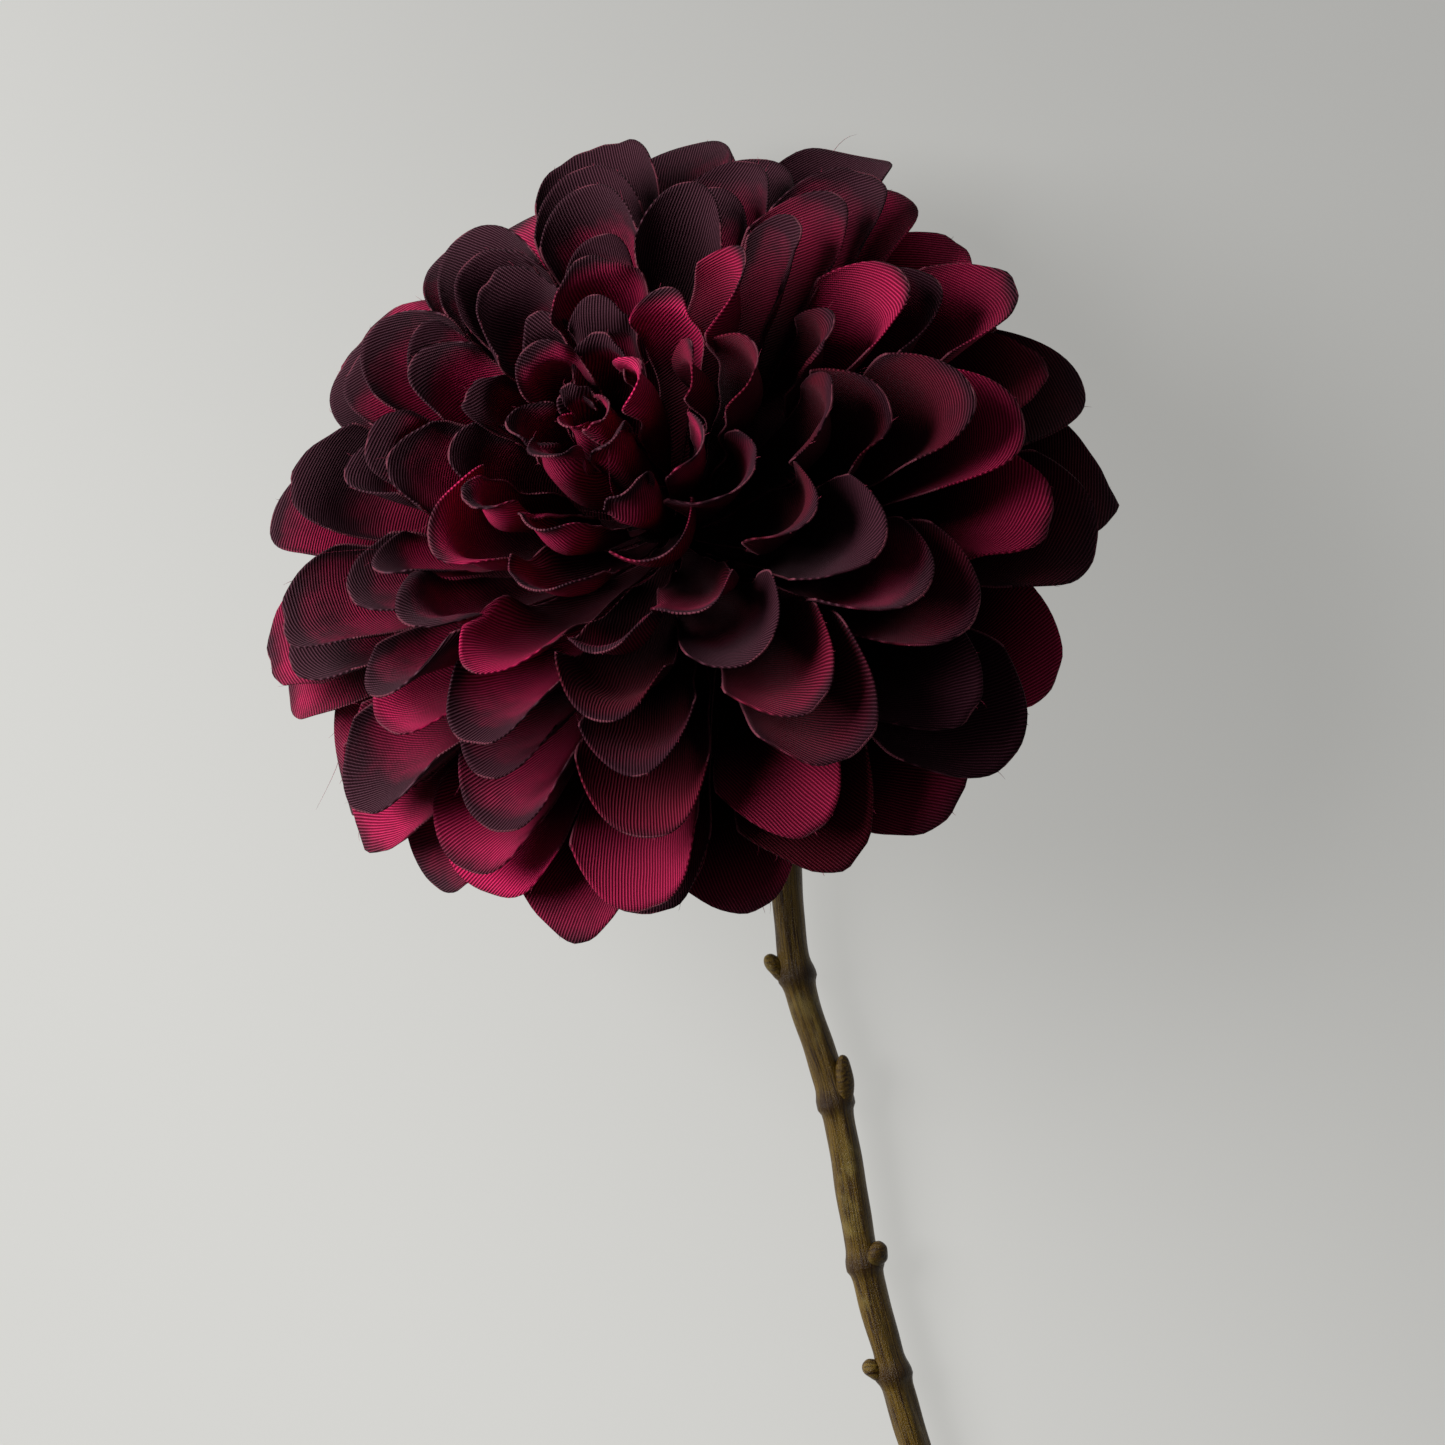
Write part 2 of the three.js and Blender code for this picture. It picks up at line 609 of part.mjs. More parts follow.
const petalCloth = new THREE.MeshStandardMaterial({ color: 0x6a1230, roughness: 0.75, metalness: 0 });
const stemPlastic = new THREE.MeshStandardMaterial({ color: 0x4a3a20, roughness: 0.6, metalness: 0 });
const wireSteel = new THREE.MeshStandardMaterial({ color: 0x9a9a98, roughness: 0.4, metalness: 1 });

const group = new THREE.Group();

function addMesh(name, body, material) {
  const { vertProperties, triVerts, numProp } = body.getMesh();
  const geometry = new THREE.BufferGeometry();
  const positions = new Float32Array(vertProperties.length / numProp * 3);
  for (let vertex = 0; vertex < positions.length / 3; vertex += 1) {
    positions.set(vertProperties.subarray(vertex * numProp, vertex * numProp + 3), vertex * 3);
  }
  geometry.setAttribute('position', new THREE.BufferAttribute(positions, 3));
  geometry.setIndex(new THREE.BufferAttribute(new Uint32Array(triVerts), 1));
  geometry.computeVertexNormals();
  const mesh = new THREE.Mesh(geometry, material);
  mesh.name = name;
  group.add(mesh);
}

for (let layer = 0; layer < LAYERS; layer += 1) {
  addMesh(`petal_disc_${String(layer + 1).padStart(2, '0')}`, petalDisc(layer), petalCloth);
}
addMesh('calyx', calyx(), stemPlastic);
addMesh('stem', stem(), stemPlastic);
addMesh('stem_wire', stemWire(), wireSteel);

export default group;
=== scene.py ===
"""Bordeaux dahlia: a cut bloom of cupped, ribbed cloth petals on a moulded stem, lying on a pale surface.

Sizes are in millimetres until a mesh is made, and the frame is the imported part's own: +Z up from the
surface, the stem towards -Y and the bloom facing up and +Y.
"""

import logging
import math
from dataclasses import dataclass, field
from enum import Enum, IntEnum

import bpy
import numpy as np
from mathutils import Matrix, Vector

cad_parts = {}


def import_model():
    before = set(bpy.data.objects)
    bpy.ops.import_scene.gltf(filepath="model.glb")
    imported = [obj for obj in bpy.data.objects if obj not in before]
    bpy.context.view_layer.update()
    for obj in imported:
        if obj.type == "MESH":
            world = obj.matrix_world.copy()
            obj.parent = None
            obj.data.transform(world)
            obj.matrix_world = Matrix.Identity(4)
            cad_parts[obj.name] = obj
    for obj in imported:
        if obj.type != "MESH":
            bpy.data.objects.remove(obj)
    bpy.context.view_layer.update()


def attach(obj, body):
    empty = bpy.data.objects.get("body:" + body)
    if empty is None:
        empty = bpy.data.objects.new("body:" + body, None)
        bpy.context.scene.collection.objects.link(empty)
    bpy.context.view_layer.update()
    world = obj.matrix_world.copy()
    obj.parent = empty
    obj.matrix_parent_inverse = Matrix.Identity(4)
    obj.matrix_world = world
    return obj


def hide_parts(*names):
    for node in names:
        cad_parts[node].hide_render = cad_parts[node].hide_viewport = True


LOG = logging.getLogger("dahlia")
MM = 0.001
PHOTO_SIZE = 1445
BODY = "root"
LEAST_HEIGHT = 0.02
CLOSING = 0.98
TINY = 1e-9
Array = np.ndarray
Shell = tuple[Array, Array]
Pair = tuple[float, float]
Triple = tuple[float, float, float]
Socket = bpy.types.NodeSocket
Inputs = dict[int | str, object]


class Slot(Enum):
    """The material slots of the record."""

    PETALS = "petal_cloth"
    STEM = "stem_plastic"
    WIRE = "wire_steel"


class Draw(IntEnum):
    """The numbers of the traits that are drawn for petals and thread ends."""

    TURN = 1
    LENGTH = 2
    FOLD = 3
    OVAL = 4
    RUFFLE_PHASE = 5
    RUFFLE_SECOND_PHASE = 6
    RUFFLE = 7
    LEAN = 8
    TWIST = 9
    PLUM_REACH = 11
    PLUM = 12
    DEPTH = 13
    BLUNT = 14
    # The throat's painted shade: how far it reaches, and which petals get a painted light from within.
    THROAT_SHADE_REACH = 15
    PAINTED_THROAT_GLOW = 16
    ROLL = 23
    SPOON = 31
    HOOD = 32
    FLARE = 33
    LIP = 34
    WIDTH = 35
    CURL = 36
    THREAD_PLACE = 41
    THREAD_BEND = 42
    THREAD_LENGTH = 45
    THREAD_LONG = 46
    WAVER_PHASE = 47
    WAVER_SECOND_PHASE = 48
    WAVER = 49


def smoothstep(value: Array, low: float, high: float) -> Array:
    """Runs from 0 at low to 1 at high along 3t^2 - 2t^3.

    Args:
        value: What is measured.
        low: Where the step starts.
        high: Where the step ends.

    Returns:
        The step, with the shape of value.
    """
    share = np.clip((np.asarray(value, float) - low) / (high - low), 0, 1)
    return share * share * (3 - 2 * share)


def lerp(start: Array, end: Array, share: Array) -> Array:
    """The value at a share of the way from start to end."""
    return start + (end - start) * share


def unit(ways: Array) -> Array:
    """Vectors scaled to a length of one."""
    return ways / np.linalg.norm(ways, axis=-1, keepdims=True)


def turns(count: int) -> Array:
    """Even turns round a full circle, in radians."""
    return np.arange(count) * 2 * math.pi / count


def circle(radius: Array, turn: Array, first: Array, second: Array) -> Array:
    """Places round a centre: radius (cos turn first + sin turn second), with a last dimension of 3."""
    return (radius * np.cos(turn))[..., None] * first + (radius * np.sin(turn))[..., None] * second


def wander(number: Array, trait: int) -> Array:
    """A repeatable draw from -1 to 1: twice the fraction of a large sine of number and trait, less 1."""
    wave = np.sin(np.asarray(number, float) * 12.9898 + trait * 78.233) * 43758.5453
    return 2 * (wave - np.floor(wave)) - 1


def bezier(controls: Array, share: Array) -> Array:
    """A cubic curve of four control points: the sum of each point times its Bernstein weight.

    Args:
        controls: Control points, petals by 4 by 2.
        share: The places along the curve, petals by rows by columns.

    Returns:
        The points, petals by rows by columns by 2.
    """
    rest = 1 - share
    weights = (rest**3, 3 * rest**2 * share, 3 * rest * share**2, share**3)
    return sum(
        weight[..., None] * controls[:, None, None, place] for place, weight in enumerate(weights)
    )


@dataclass(frozen=True)
class HeadFrame:
    """The bloom's own frame: a centre, and an axis that rises from the surface and leans towards +Y."""

    centre: Triple = (1.026, 145.2, 46.0)
    rise: float = math.radians(59)

    @property
    def axis(self) -> Array:
        """The way the bloom faces."""
        return np.array([0, math.cos(self.rise), math.sin(self.rise)])

    @property
    def lean(self) -> Array:
        """The way from the axis to the bloom's low side."""
        return np.array([0, math.sin(self.rise), -math.cos(self.rise)])

    @property
    def aside(self) -> Array:
        """The way a quarter turn on from the low side."""
        return np.array([-1.0, 0, 0])

    def place(self, radius: Array, turn: Array, height: Array) -> Array:
        """Points at a radius from the axis, a turn from the low side and a height along the axis.

        Args:
            radius: Distances from the axis.
            turn: Turns round it.
            height: Heights along it.

        Returns:
            The points, with a last dimension of 3.
        """
        radius, turn, height = np.broadcast_arrays(radius, turn, height)
        ring = circle(radius, turn, self.lean, self.aside)
        return np.array(self.centre) + ring + height[..., None] * self.axis


@dataclass
class MeshParts:
    """Points, faces and named values that become one mesh."""

    points: list[Array] = field(default_factory=list)
    faces: list[Array] = field(default_factory=list)
    values: dict[str, list[Array]] = field(default_factory=dict)
    count: int = 0

    def add(self, points: Array, faces: Array, **values: Array | float) -> None:
        """Adds a shell.

        Args:
            points: Points by 3, in millimetres.
            faces: Faces by 4, as point numbers of this shell.
            values: Point values by name, points by 1 or points by 3, or one number for all points.
        """
        self.points.append(points)
        self.faces.append(faces + self.count)
        self.count += len(points)
        for name, value in values.items():
            spread = np.full(len(points), value) if np.ndim(value) == 0 else value
            self.values.setdefault(name, []).append(spread)

    def build(self, name: str, material: bpy.types.Material, slot: Slot) -> bpy.types.Object:
        """Makes the mesh object, smooth, with its values as point attributes, riding on the part.

        Points that would lie in the surface under the part are lifted just above it.

        Args:
            name: The piece's name.
            material: Its finish.
            slot: The record's slot of that finish; not used.

        Returns:
            The object, at the origin.
        """
        points = np.concatenate(self.points)
        points[:, 2] = np.maximum(points[:, 2], LEAST_HEIGHT)
        faces = np.concatenate(self.faces)
        mesh = bpy.data.meshes.new(name)
        mesh.vertices.add(len(points))
        mesh.vertices.foreach_set("co", (points * MM).astype(np.float32).ravel())
        mesh.loops.add(faces.size)
        mesh.loops.foreach_set("vertex_index", faces.astype(np.int32).ravel())
        mesh.polygons.add(len(faces))
        mesh.polygons.foreach_set("loop_start", np.arange(0, faces.size, 4, dtype=np.int32))
        mesh.polygons.foreach_set("use_smooth", np.ones(len(faces), bool))
        mesh.update(calc_edges=True)
        mesh.validate()
        for label, stack in self.values.items():
            value = np.concatenate(stack).astype(np.float32)
            kind, key = ("FLOAT_VECTOR", "vector") if value.ndim == 2 else ("FLOAT", "value")
            mesh.attributes.new(label, kind, "POINT").data.foreach_set(key, value.ravel())
        mesh.materials.append(material)
        piece = bpy.data.objects.new(name, mesh)
        bpy.context.scene.collection.objects.link(piece)
        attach(piece, BODY)
        return piece


def grid_faces(rows: int, columns: int, closed: bool = False) -> Array:
    """The quads of a grid of points, row by row.

    Args:
        rows: Rows of points.
        columns: Points in a row.
        closed: Whether the last column joins the first.

    Returns:
        Faces by 4.
    """
    across = columns if closed else columns - 1
    row, column = np.meshgrid(np.arange(rows - 1), np.arange(across), indexing="ij")
    beside = (column + 1) % columns
    corners = (row * columns + column, row * columns + beside)
    above = (corners[1] + columns, corners[0] + columns)
    return np.stack([*corners, *above], -1).reshape(-1, 4)


def sheet_faces(rows: int, columns: int) -> Array:
    """The faces of a thin sheet: a grid, a second one behind it, turned over, and a wall round both.

    Args:
        rows: Rows of points of either grid.
        columns: Points in a row.

    Returns:
        Faces by 4.
    """
    face = grid_faces(rows, columns)
    rear = rows * columns
    number = np.arange(rear).reshape(rows, columns)
    rim = np.concatenate([number[0], number[1:, -1], number[-1, -2::-1], number[-2:0:-1, 0]])
    after = np.roll(rim, -1)
    wall = np.stack([rim, rim + rear, after + rear, after], -1)
    return np.concatenate([face, face[:, ::-1] + rear, wall])


def copies(faces: Array, count: int, points: int) -> Array:
    """The faces of a count of equal shells, from the faces of one and how many points it has."""
    offsets = np.arange(count).reshape(-1, 1, 1) * points
    return (faces[None] + offsets).reshape(-1, 4)


def both_faces(values: Array) -> Array:
    """Lists the values of petal grids, each petal's twice: for its front and for its back."""
    grids = values.reshape(len(values), -1, *values.shape[3:])
    return np.concatenate([grids, grids], 1).reshape(-1, *values.shape[3:])


def revolved(frame: HeadFrame, profile: Array, sides: int, ripple: Array | float = 0) -> Shell:
    """A closed ring or pot round the flower's axis, from a closed outline of radius and height.

    Args:
        frame: The bloom's frame.
        profile: Outline points by 2, anticlockwise, the last joining the first.
        sides: How many times it is repeated round the axis.
        ripple: A share by which the radius grows, outline points by sides.

    Returns:
        The points and the faces.
    """
    radius = profile[:, :1] * (1 + ripple)
    points = frame.place(radius, turns(sides)[None, :], np.repeat(profile[:, 1:], sides, axis=1))
    faces = grid_faces(len(profile) + 1, sides, closed=True) % (len(profile) * sides)
    return points.reshape(-1, 3), faces


@dataclass(frozen=True)
class Tone:
    """A colour in linear light."""

    red: float
    green: float
    blue: float

    @property
    def rgba(self) -> tuple[float, float, float, float]:
        """The colour with full cover."""
        return (self.red, self.green, self.blue, 1.0)


class NodeBook:
    """A thin writer of shader nodes for one material."""

    def __init__(self, name: str) -> None:
        """Starts a material with an empty node tree.

        Args:
            name: The material's name.
        """
        self.material = bpy.data.materials.new(name)
        self.material.use_nodes = True
        self.tree = self.material.node_tree
        self.tree.nodes.clear()
        self.shader = self.tree.nodes.new("ShaderNodeBsdfPrincipled")
        output = self.tree.nodes.new("ShaderNodeOutputMaterial")
        self.tree.links.new(self.shader.outputs[0], output.inputs["Surface"])

    def feed(self, node: bpy.types.Node, inputs: Inputs) -> None:
        """Feeds a node's inputs, by name or place, from outputs, or sets them to numbers or colours."""
        for key, value in inputs.items():
            if isinstance(value, Socket):
                self.tree.links.new(value, node.inputs[key])
            else:
                node.inputs[key].default_value = value

    def node(self, kind: str, output: int | str, inputs: Inputs, **settings: str) -> Socket:
        """Adds a node.

        Args:
            kind: Blender's name of it without "ShaderNode".
            output: The name or place of the output that is used.
            inputs: What its inputs get, by name or place.
            settings: Its own settings.

        Returns:
            The output.
        """
        node = self.tree.nodes.new("ShaderNode" + kind)
        for name, value in settings.items():
            setattr(node, name, value)
        self.feed(node, inputs)
        return node.outputs[output]

    def attribute(self, name: str, output: str = "Fac") -> Socket:
        """Reads a named point value, as a number or as a "Vector"."""
        return self.node("Attribute", output, {}, attribute_name=name)

    def object_place(self) -> Socket:
        """Reads the place on the object, in metres."""
        return self.node("TexCoord", "Object", {})

    def part(self, vector: Socket, place: int) -> Socket:
        """One of a vector's three numbers."""
        return self.node("SeparateXYZ", place, {0: vector})

    def math(self, operation: str, *values: Socket | float) -> Socket:
        """One arithmetic step, by Blender's name of it, on one, two or three values."""
        return self.node("Math", 0, dict(enumerate(values)), operation=operation)

    def line(self, value: Socket, factor: float, offset: Socket | float) -> Socket:
        """A value times a factor plus an offset."""
        return self.math("MULTIPLY_ADD", value, factor, offset)

    def scaled(self, vector: Socket, scale: Triple) -> Socket:
        """Multiplies a vector by three numbers."""
        return self.node("VectorMath", 0, {0: vector, 1: scale}, operation="MULTIPLY")

    def noise(self, vector: Socket, scale: float, detail: float = 2.0, rough: float = 0.5) -> Socket:
        """A soft noise from 0 to 1 of a frequency, with finer layers and how strong they are."""
        inputs = {"Vector": vector, "Scale": scale, "Detail": detail, "Roughness": rough}
        return self.node("TexNoise", "Fac", inputs)

    def fit(self, value: Socket, low: float, high: float, to_low: float = 0, to_high: float = 1) -> Socket:
        """Maps the range from low to high, smoothly and with limits, to that from to_low to to_high."""
        ends = {"From Min": low, "From Max": high, "To Min": to_low, "To Max": to_high}
        return self.node("MapRange", "Result", {"Value": value, **ends}, interpolation_type="SMOOTHSTEP")

    def mix(self, share: object, first: object, second: object, mode: str = "MIX") -> Socket:
        """Mixes a share of a second colour over a first one, in Blender's blend mode."""
        return self.node("Mix", 2, {0: share, 6: first, 7: second}, data_type="RGBA", blend_type=mode)

    def bump(self, height: Socket, depth: float) -> Socket:
        """Tilts the surface by a height field of 0 to 1, whose full range is a depth in metres."""
        return self.node("Bump", "Normal", {"Strength": 1.0, "Distance": depth, "Height": height})

    def finish(self, **values: object) -> bpy.types.Material:
        """Sets the shader's sockets, by name with underscores for spaces, and gives the material."""
        self.feed(self.shader, {name.replace("_", " "): value for name, value in values.items()})
        return self.material


@dataclass(frozen=True)
class RibbedCloth:
    """Dyed ribbed cloth: crimson that darkens to a plum grey towards the petal's tip and edge."""

    crimson: Tone = Tone(0.50, 0.0046, 0.074)
    # A deep red, partly the cloth's own and partly painted shade.
    deep: Tone = Tone(0.060, 0.0005, 0.0052)
    plum: Tone = Tone(0.026, 0.0032, 0.0085)
    # Painted sheen highlights on the rib tops, the first over crimson and the next over plum.
    ridge: Tone = Tone(0.62, 0.19, 0.30)
    plum_ridge_sheen: Tone = Tone(0.34, 0.20, 0.25)
    # Painted shade: a near black for the petals' throats and the hidden hubs.
    core: Tone = Tone(0.005, 0.0001, 0.0004)
    # A greyer rim colour: partly loose fray, partly a painted rim highlight.
    fray_and_rim_highlight: Tone = Tone(0.18, 0.045, 0.066)
    sheen: Tone = Tone(0.95, 0.6, 0.72)
    rib_pitch: float = 0.5
    thread_pitch: float = 0.27
    drift: float = 0.8
    rib_depth: float = 0.00014
    thread_relief: float = 0.12
    fuzz_relief: float = 0.35
    cloud_share: float = 0.5
    # Painted shading across the ribs: near black in the grooves, brighter than the dye on the tops.
    painted_groove_shade: float = 0.08
    painted_rib_light: float = 1.3
    fuzz_light: float = 0.5
    # The painted sheen highlight: its share, its loss in shade and its sharpness.
    ridge_sheen_share: float = 0.16
    ridge_sheen_shaded: float = 0.65
    ridge_sheen_sharpness: float = 4.0
    ragged: float = 0.24
    fringe_width: float = 0.26
    fringe_blur: float = 0.12
    fray_and_highlight_share: float = 0.7

    def material(self) -> bpy.types.Material:
        """Builds the cloth. Its point values are pattern, dye, edge, shade and the throat's painted shade.

        The ribs are a sine of the distance across them on the flat cloth, pattern's first number, bent a
        little by a noise, and finer threads cross them. The dye is crimson, plum by dye and a cloudy noise.
        Shade mixes in a deep red, partly the cloth's own and partly painted shade, and the throat is
        painted nearly black as shade. Painted shade darkens the grooves and painted light brightens the rib
        tops, which carry a painted sheen highlight, less so where shade or the throat's painted shade is
        high. The rim is ragged and greyer, partly loose fray and partly a painted rim highlight.

        Returns:
            The material.
        """
        book = NodeBook("ribbed_cloth")
        pattern = book.attribute("pattern", "Vector")
        dye, edge, shade, core = (book.attribute(name) for name in ("dye", "edge", "shade", "core"))
        bent = book.math("MULTIPLY", book.noise(pattern, scale=0.12, detail=1.0), self.drift)
        across = book.math("ADD", book.part(pattern, 0), bent)
        rib = book.math("SINE", book.math("MULTIPLY", across, 2 * math.pi / self.rib_pitch))
        crossing = book.math("MULTIPLY", book.part(pattern, 1), 2 * math.pi / self.thread_pitch)
        rib_share = book.line(rib, 0.5, 0.5)
        fuzz = book.noise(pattern, scale=6.0, detail=3.0, rough=0.7)
        height = book.line(fuzz, self.fuzz_relief, rib_share)
        height = book.line(book.math("SINE", crossing), self.thread_relief, height)
        cloud = book.noise(pattern, scale=0.16, detail=3.0, rough=0.6)
        plum_share = book.fit(book.line(cloud, self.cloud_share, dye), low=0.28, high=0.98)
        # Shade mixes in the deep red, partly the cloth's own and partly painted shade; the throat is
        # painted near black as shade.
        red = book.mix(shade, self.crimson.rgba, self.deep.rgba)
        dyed_and_shaded = book.mix(core, book.mix(plum_share, red, self.plum.rgba), self.core.rgba)
        # Painted shade darkens the grooves and painted light brightens the rib tops; the fuzz varies the
        # tone at random.
        groove = book.line(rib_share, self.painted_rib_light, self.painted_groove_shade)
        fuzzed_and_groove_shaded = book.mix(1.0, dyed_and_shaded, book.line(fuzz, self.fuzz_light, groove), "MULTIPLY")
        # A painted sheen highlight on the rib tops, less where shade or the throat's painted shade is high.
        paler = book.line(shade, -self.ridge_sheen_shaded * self.ridge_sheen_share, self.ridge_sheen_share)
        lit = book.math("MULTIPLY", book.math("SUBTRACT", 1.0, core), paler)
        ridge_sheen = book.math("MULTIPLY", book.math("POWER", rib_share, self.ridge_sheen_sharpness), lit)
        ribbed = book.mix(ridge_sheen, fuzzed_and_groove_shaded, book.mix(plum_share, self.ridge.rgba, self.plum_ridge_sheen.rgba))
        # The rim: partly loose fray, partly a painted rim highlight.
        fray_and_highlight_mask = book.fit(
            book.line(fuzz, self.ragged, edge),
            low=self.fringe_width,
            high=self.fringe_width + self.fringe_blur,
            to_low=self.fray_and_highlight_share,
            to_high=0.0,
        )
        return book.finish(
            Base_Color=book.mix(fray_and_highlight_mask, ribbed, self.fray_and_rim_highlight.rgba),
            Roughness=book.line(fuzz, 0.25, 0.5),
            Specular_IOR_Level=0.05,
            Sheen_Weight=0.03,
            Sheen_Roughness=0.35,
            Sheen_Tint=self.sheen.rgba,
            Normal=book.bump(height, self.rib_depth),
        )


@dataclass(frozen=True)
class MouldedStem:
    """Moulded olive brown plastic with dark streaks along it, paler patches and a waxy shine."""

    olive: Tone = Tone(0.125, 0.072, 0.0075)
    bark: Tone = Tone(0.020, 0.0068, 0.0012)
    pale: Tone = Tone(0.24, 0.175, 0.045)
    stretched: Triple = (0.05, 1.0, 1.0)
    pale_share: float = 0.55
    scar_share: float = 0.75
    streak_relief: float = 0.7
    relief: float = 0.00022

    def material(self) -> bpy.types.Material:
        """Builds the plastic. Its point values are along, the length and side on the stem, and scar.

        Returns:
            The material.
        """
        book = NodeBook("moulded_stem")
        along = book.attribute("along", "Vector")
        scar = book.math("MULTIPLY", book.attribute("scar"), self.scar_share)
        streak = book.noise(book.scaled(along, self.stretched), scale=2.2, detail=3.0, rough=0.6)
        patch = book.noise(along, scale=0.12, detail=3.0, rough=0.6)
        grain = book.noise(along, scale=3.0, detail=4.0, rough=0.7)
        streaked = book.mix(book.fit(streak, low=0.35, high=0.68), self.olive.rgba, self.bark.rgba)
        pale_share = book.fit(patch, low=0.52, high=0.75, to_high=self.pale_share)
        blotched = book.mix(pale_share, streaked, self.pale.rgba)
        return book.finish(
            Base_Color=book.mix(scar, blotched, self.bark.rgba),
            Roughness=book.line(grain, 0.3, 0.15),
            Specular_IOR_Level=0.2,
            Normal=book.bump(book.line(streak, self.streak_relief, grain), self.relief),
        )


@dataclass(frozen=True)
class CutWire:
    """Cut steel wire, a little dull."""

    steel: Tone = Tone(0.42, 0.41, 0.40)
    drawn: Triple = (4000.0, 60.0, 4000.0)

    def material(self) -> bpy.types.Material:
        """Builds the steel, with fine drawn lines in its roughness."""
        book = NodeBook("cut_wire")
        line = book.noise(book.scaled(book.object_place(), self.drawn), scale=1.0)
        rough = book.line(line, 0.3, 0.25)
        return book.finish(Base_Color=self.steel.rgba, Metallic=1.0, Roughness=rough)


@dataclass(frozen=True)
class PaleFloor:
    """A plain pale surface with a faint grain that emits a painted light, less so towards the far right."""

    paint: Tone = Tone(0.091, 0.0905, 0.088)
    painted_glow_tone: Tone = Tone(1.0, 0.995, 0.955)
    painted_glow: Pair = (0.55, 0.31)
    painted_glow_metres: Pair = (-0.12, 0.27)
    slant: float = 0.5
    grain: float = 0.04

    def material(self) -> bpy.types.Material:
        """Builds the surface. Its painted light falls along X plus the slant times Y."""
        book = NodeBook("pale_floor")
        place = book.object_place()
        grain = book.noise(place, scale=900.0, detail=3.0, rough=0.6)
        shade = book.line(grain, self.grain, 1 - self.grain / 2)
        away = book.line(book.part(place, 1), self.slant, book.part(place, 0))
        return book.finish(
            Base_Color=book.mix(1.0, self.paint.rgba, shade, "MULTIPLY"),
            Roughness=0.9,
            Specular_IOR_Level=0.1,
            # Painted light: the floor emits, though it is no lamp, and so lightens the bloom's shadow on
            # it.
            Emission_Color=self.painted_glow_tone.rgba,
            Emission_Strength=book.fit(away, *self.painted_glow_metres, *self.painted_glow),
        )


@dataclass
class PetalTraits:
    """The sizes and draws of a layer's petals, each a number or an array of petals by 1 by 1."""

    number: Array
    turn: Array
    stretch: Array
    width: Array
    oval: Array
    blunt: Array
    root: float
    room: float
    fold: Array
    lift: Array
    lean: Array
    roll: Array
    spoon: Array
    hood: Array
    flare: Array
    ruffle: float
    curl: Array
    bud: Array
    lip: Array
    press: Array


@dataclass
class FlatPetals:
    """A layer's petals as they are cut from flat cloth, as grids of petals by rows by columns.

    Row is a row's distance from the root and bulge what a point adds to it. Spread is the place across,
    from -1 to 1, half the row's half width, and edge the distance to the petal's edge.
    """

    length: Array
    row: Array
    bulge: Array
    spread: Array
    half: Array
    edge: Array


@dataclass
class PetalSurface:
    """A layer's petals as grids: points, places on the flat disc, distances to the edge, shares along."""

    points: Array
    flat: Array
    edge: Array
    share: Array


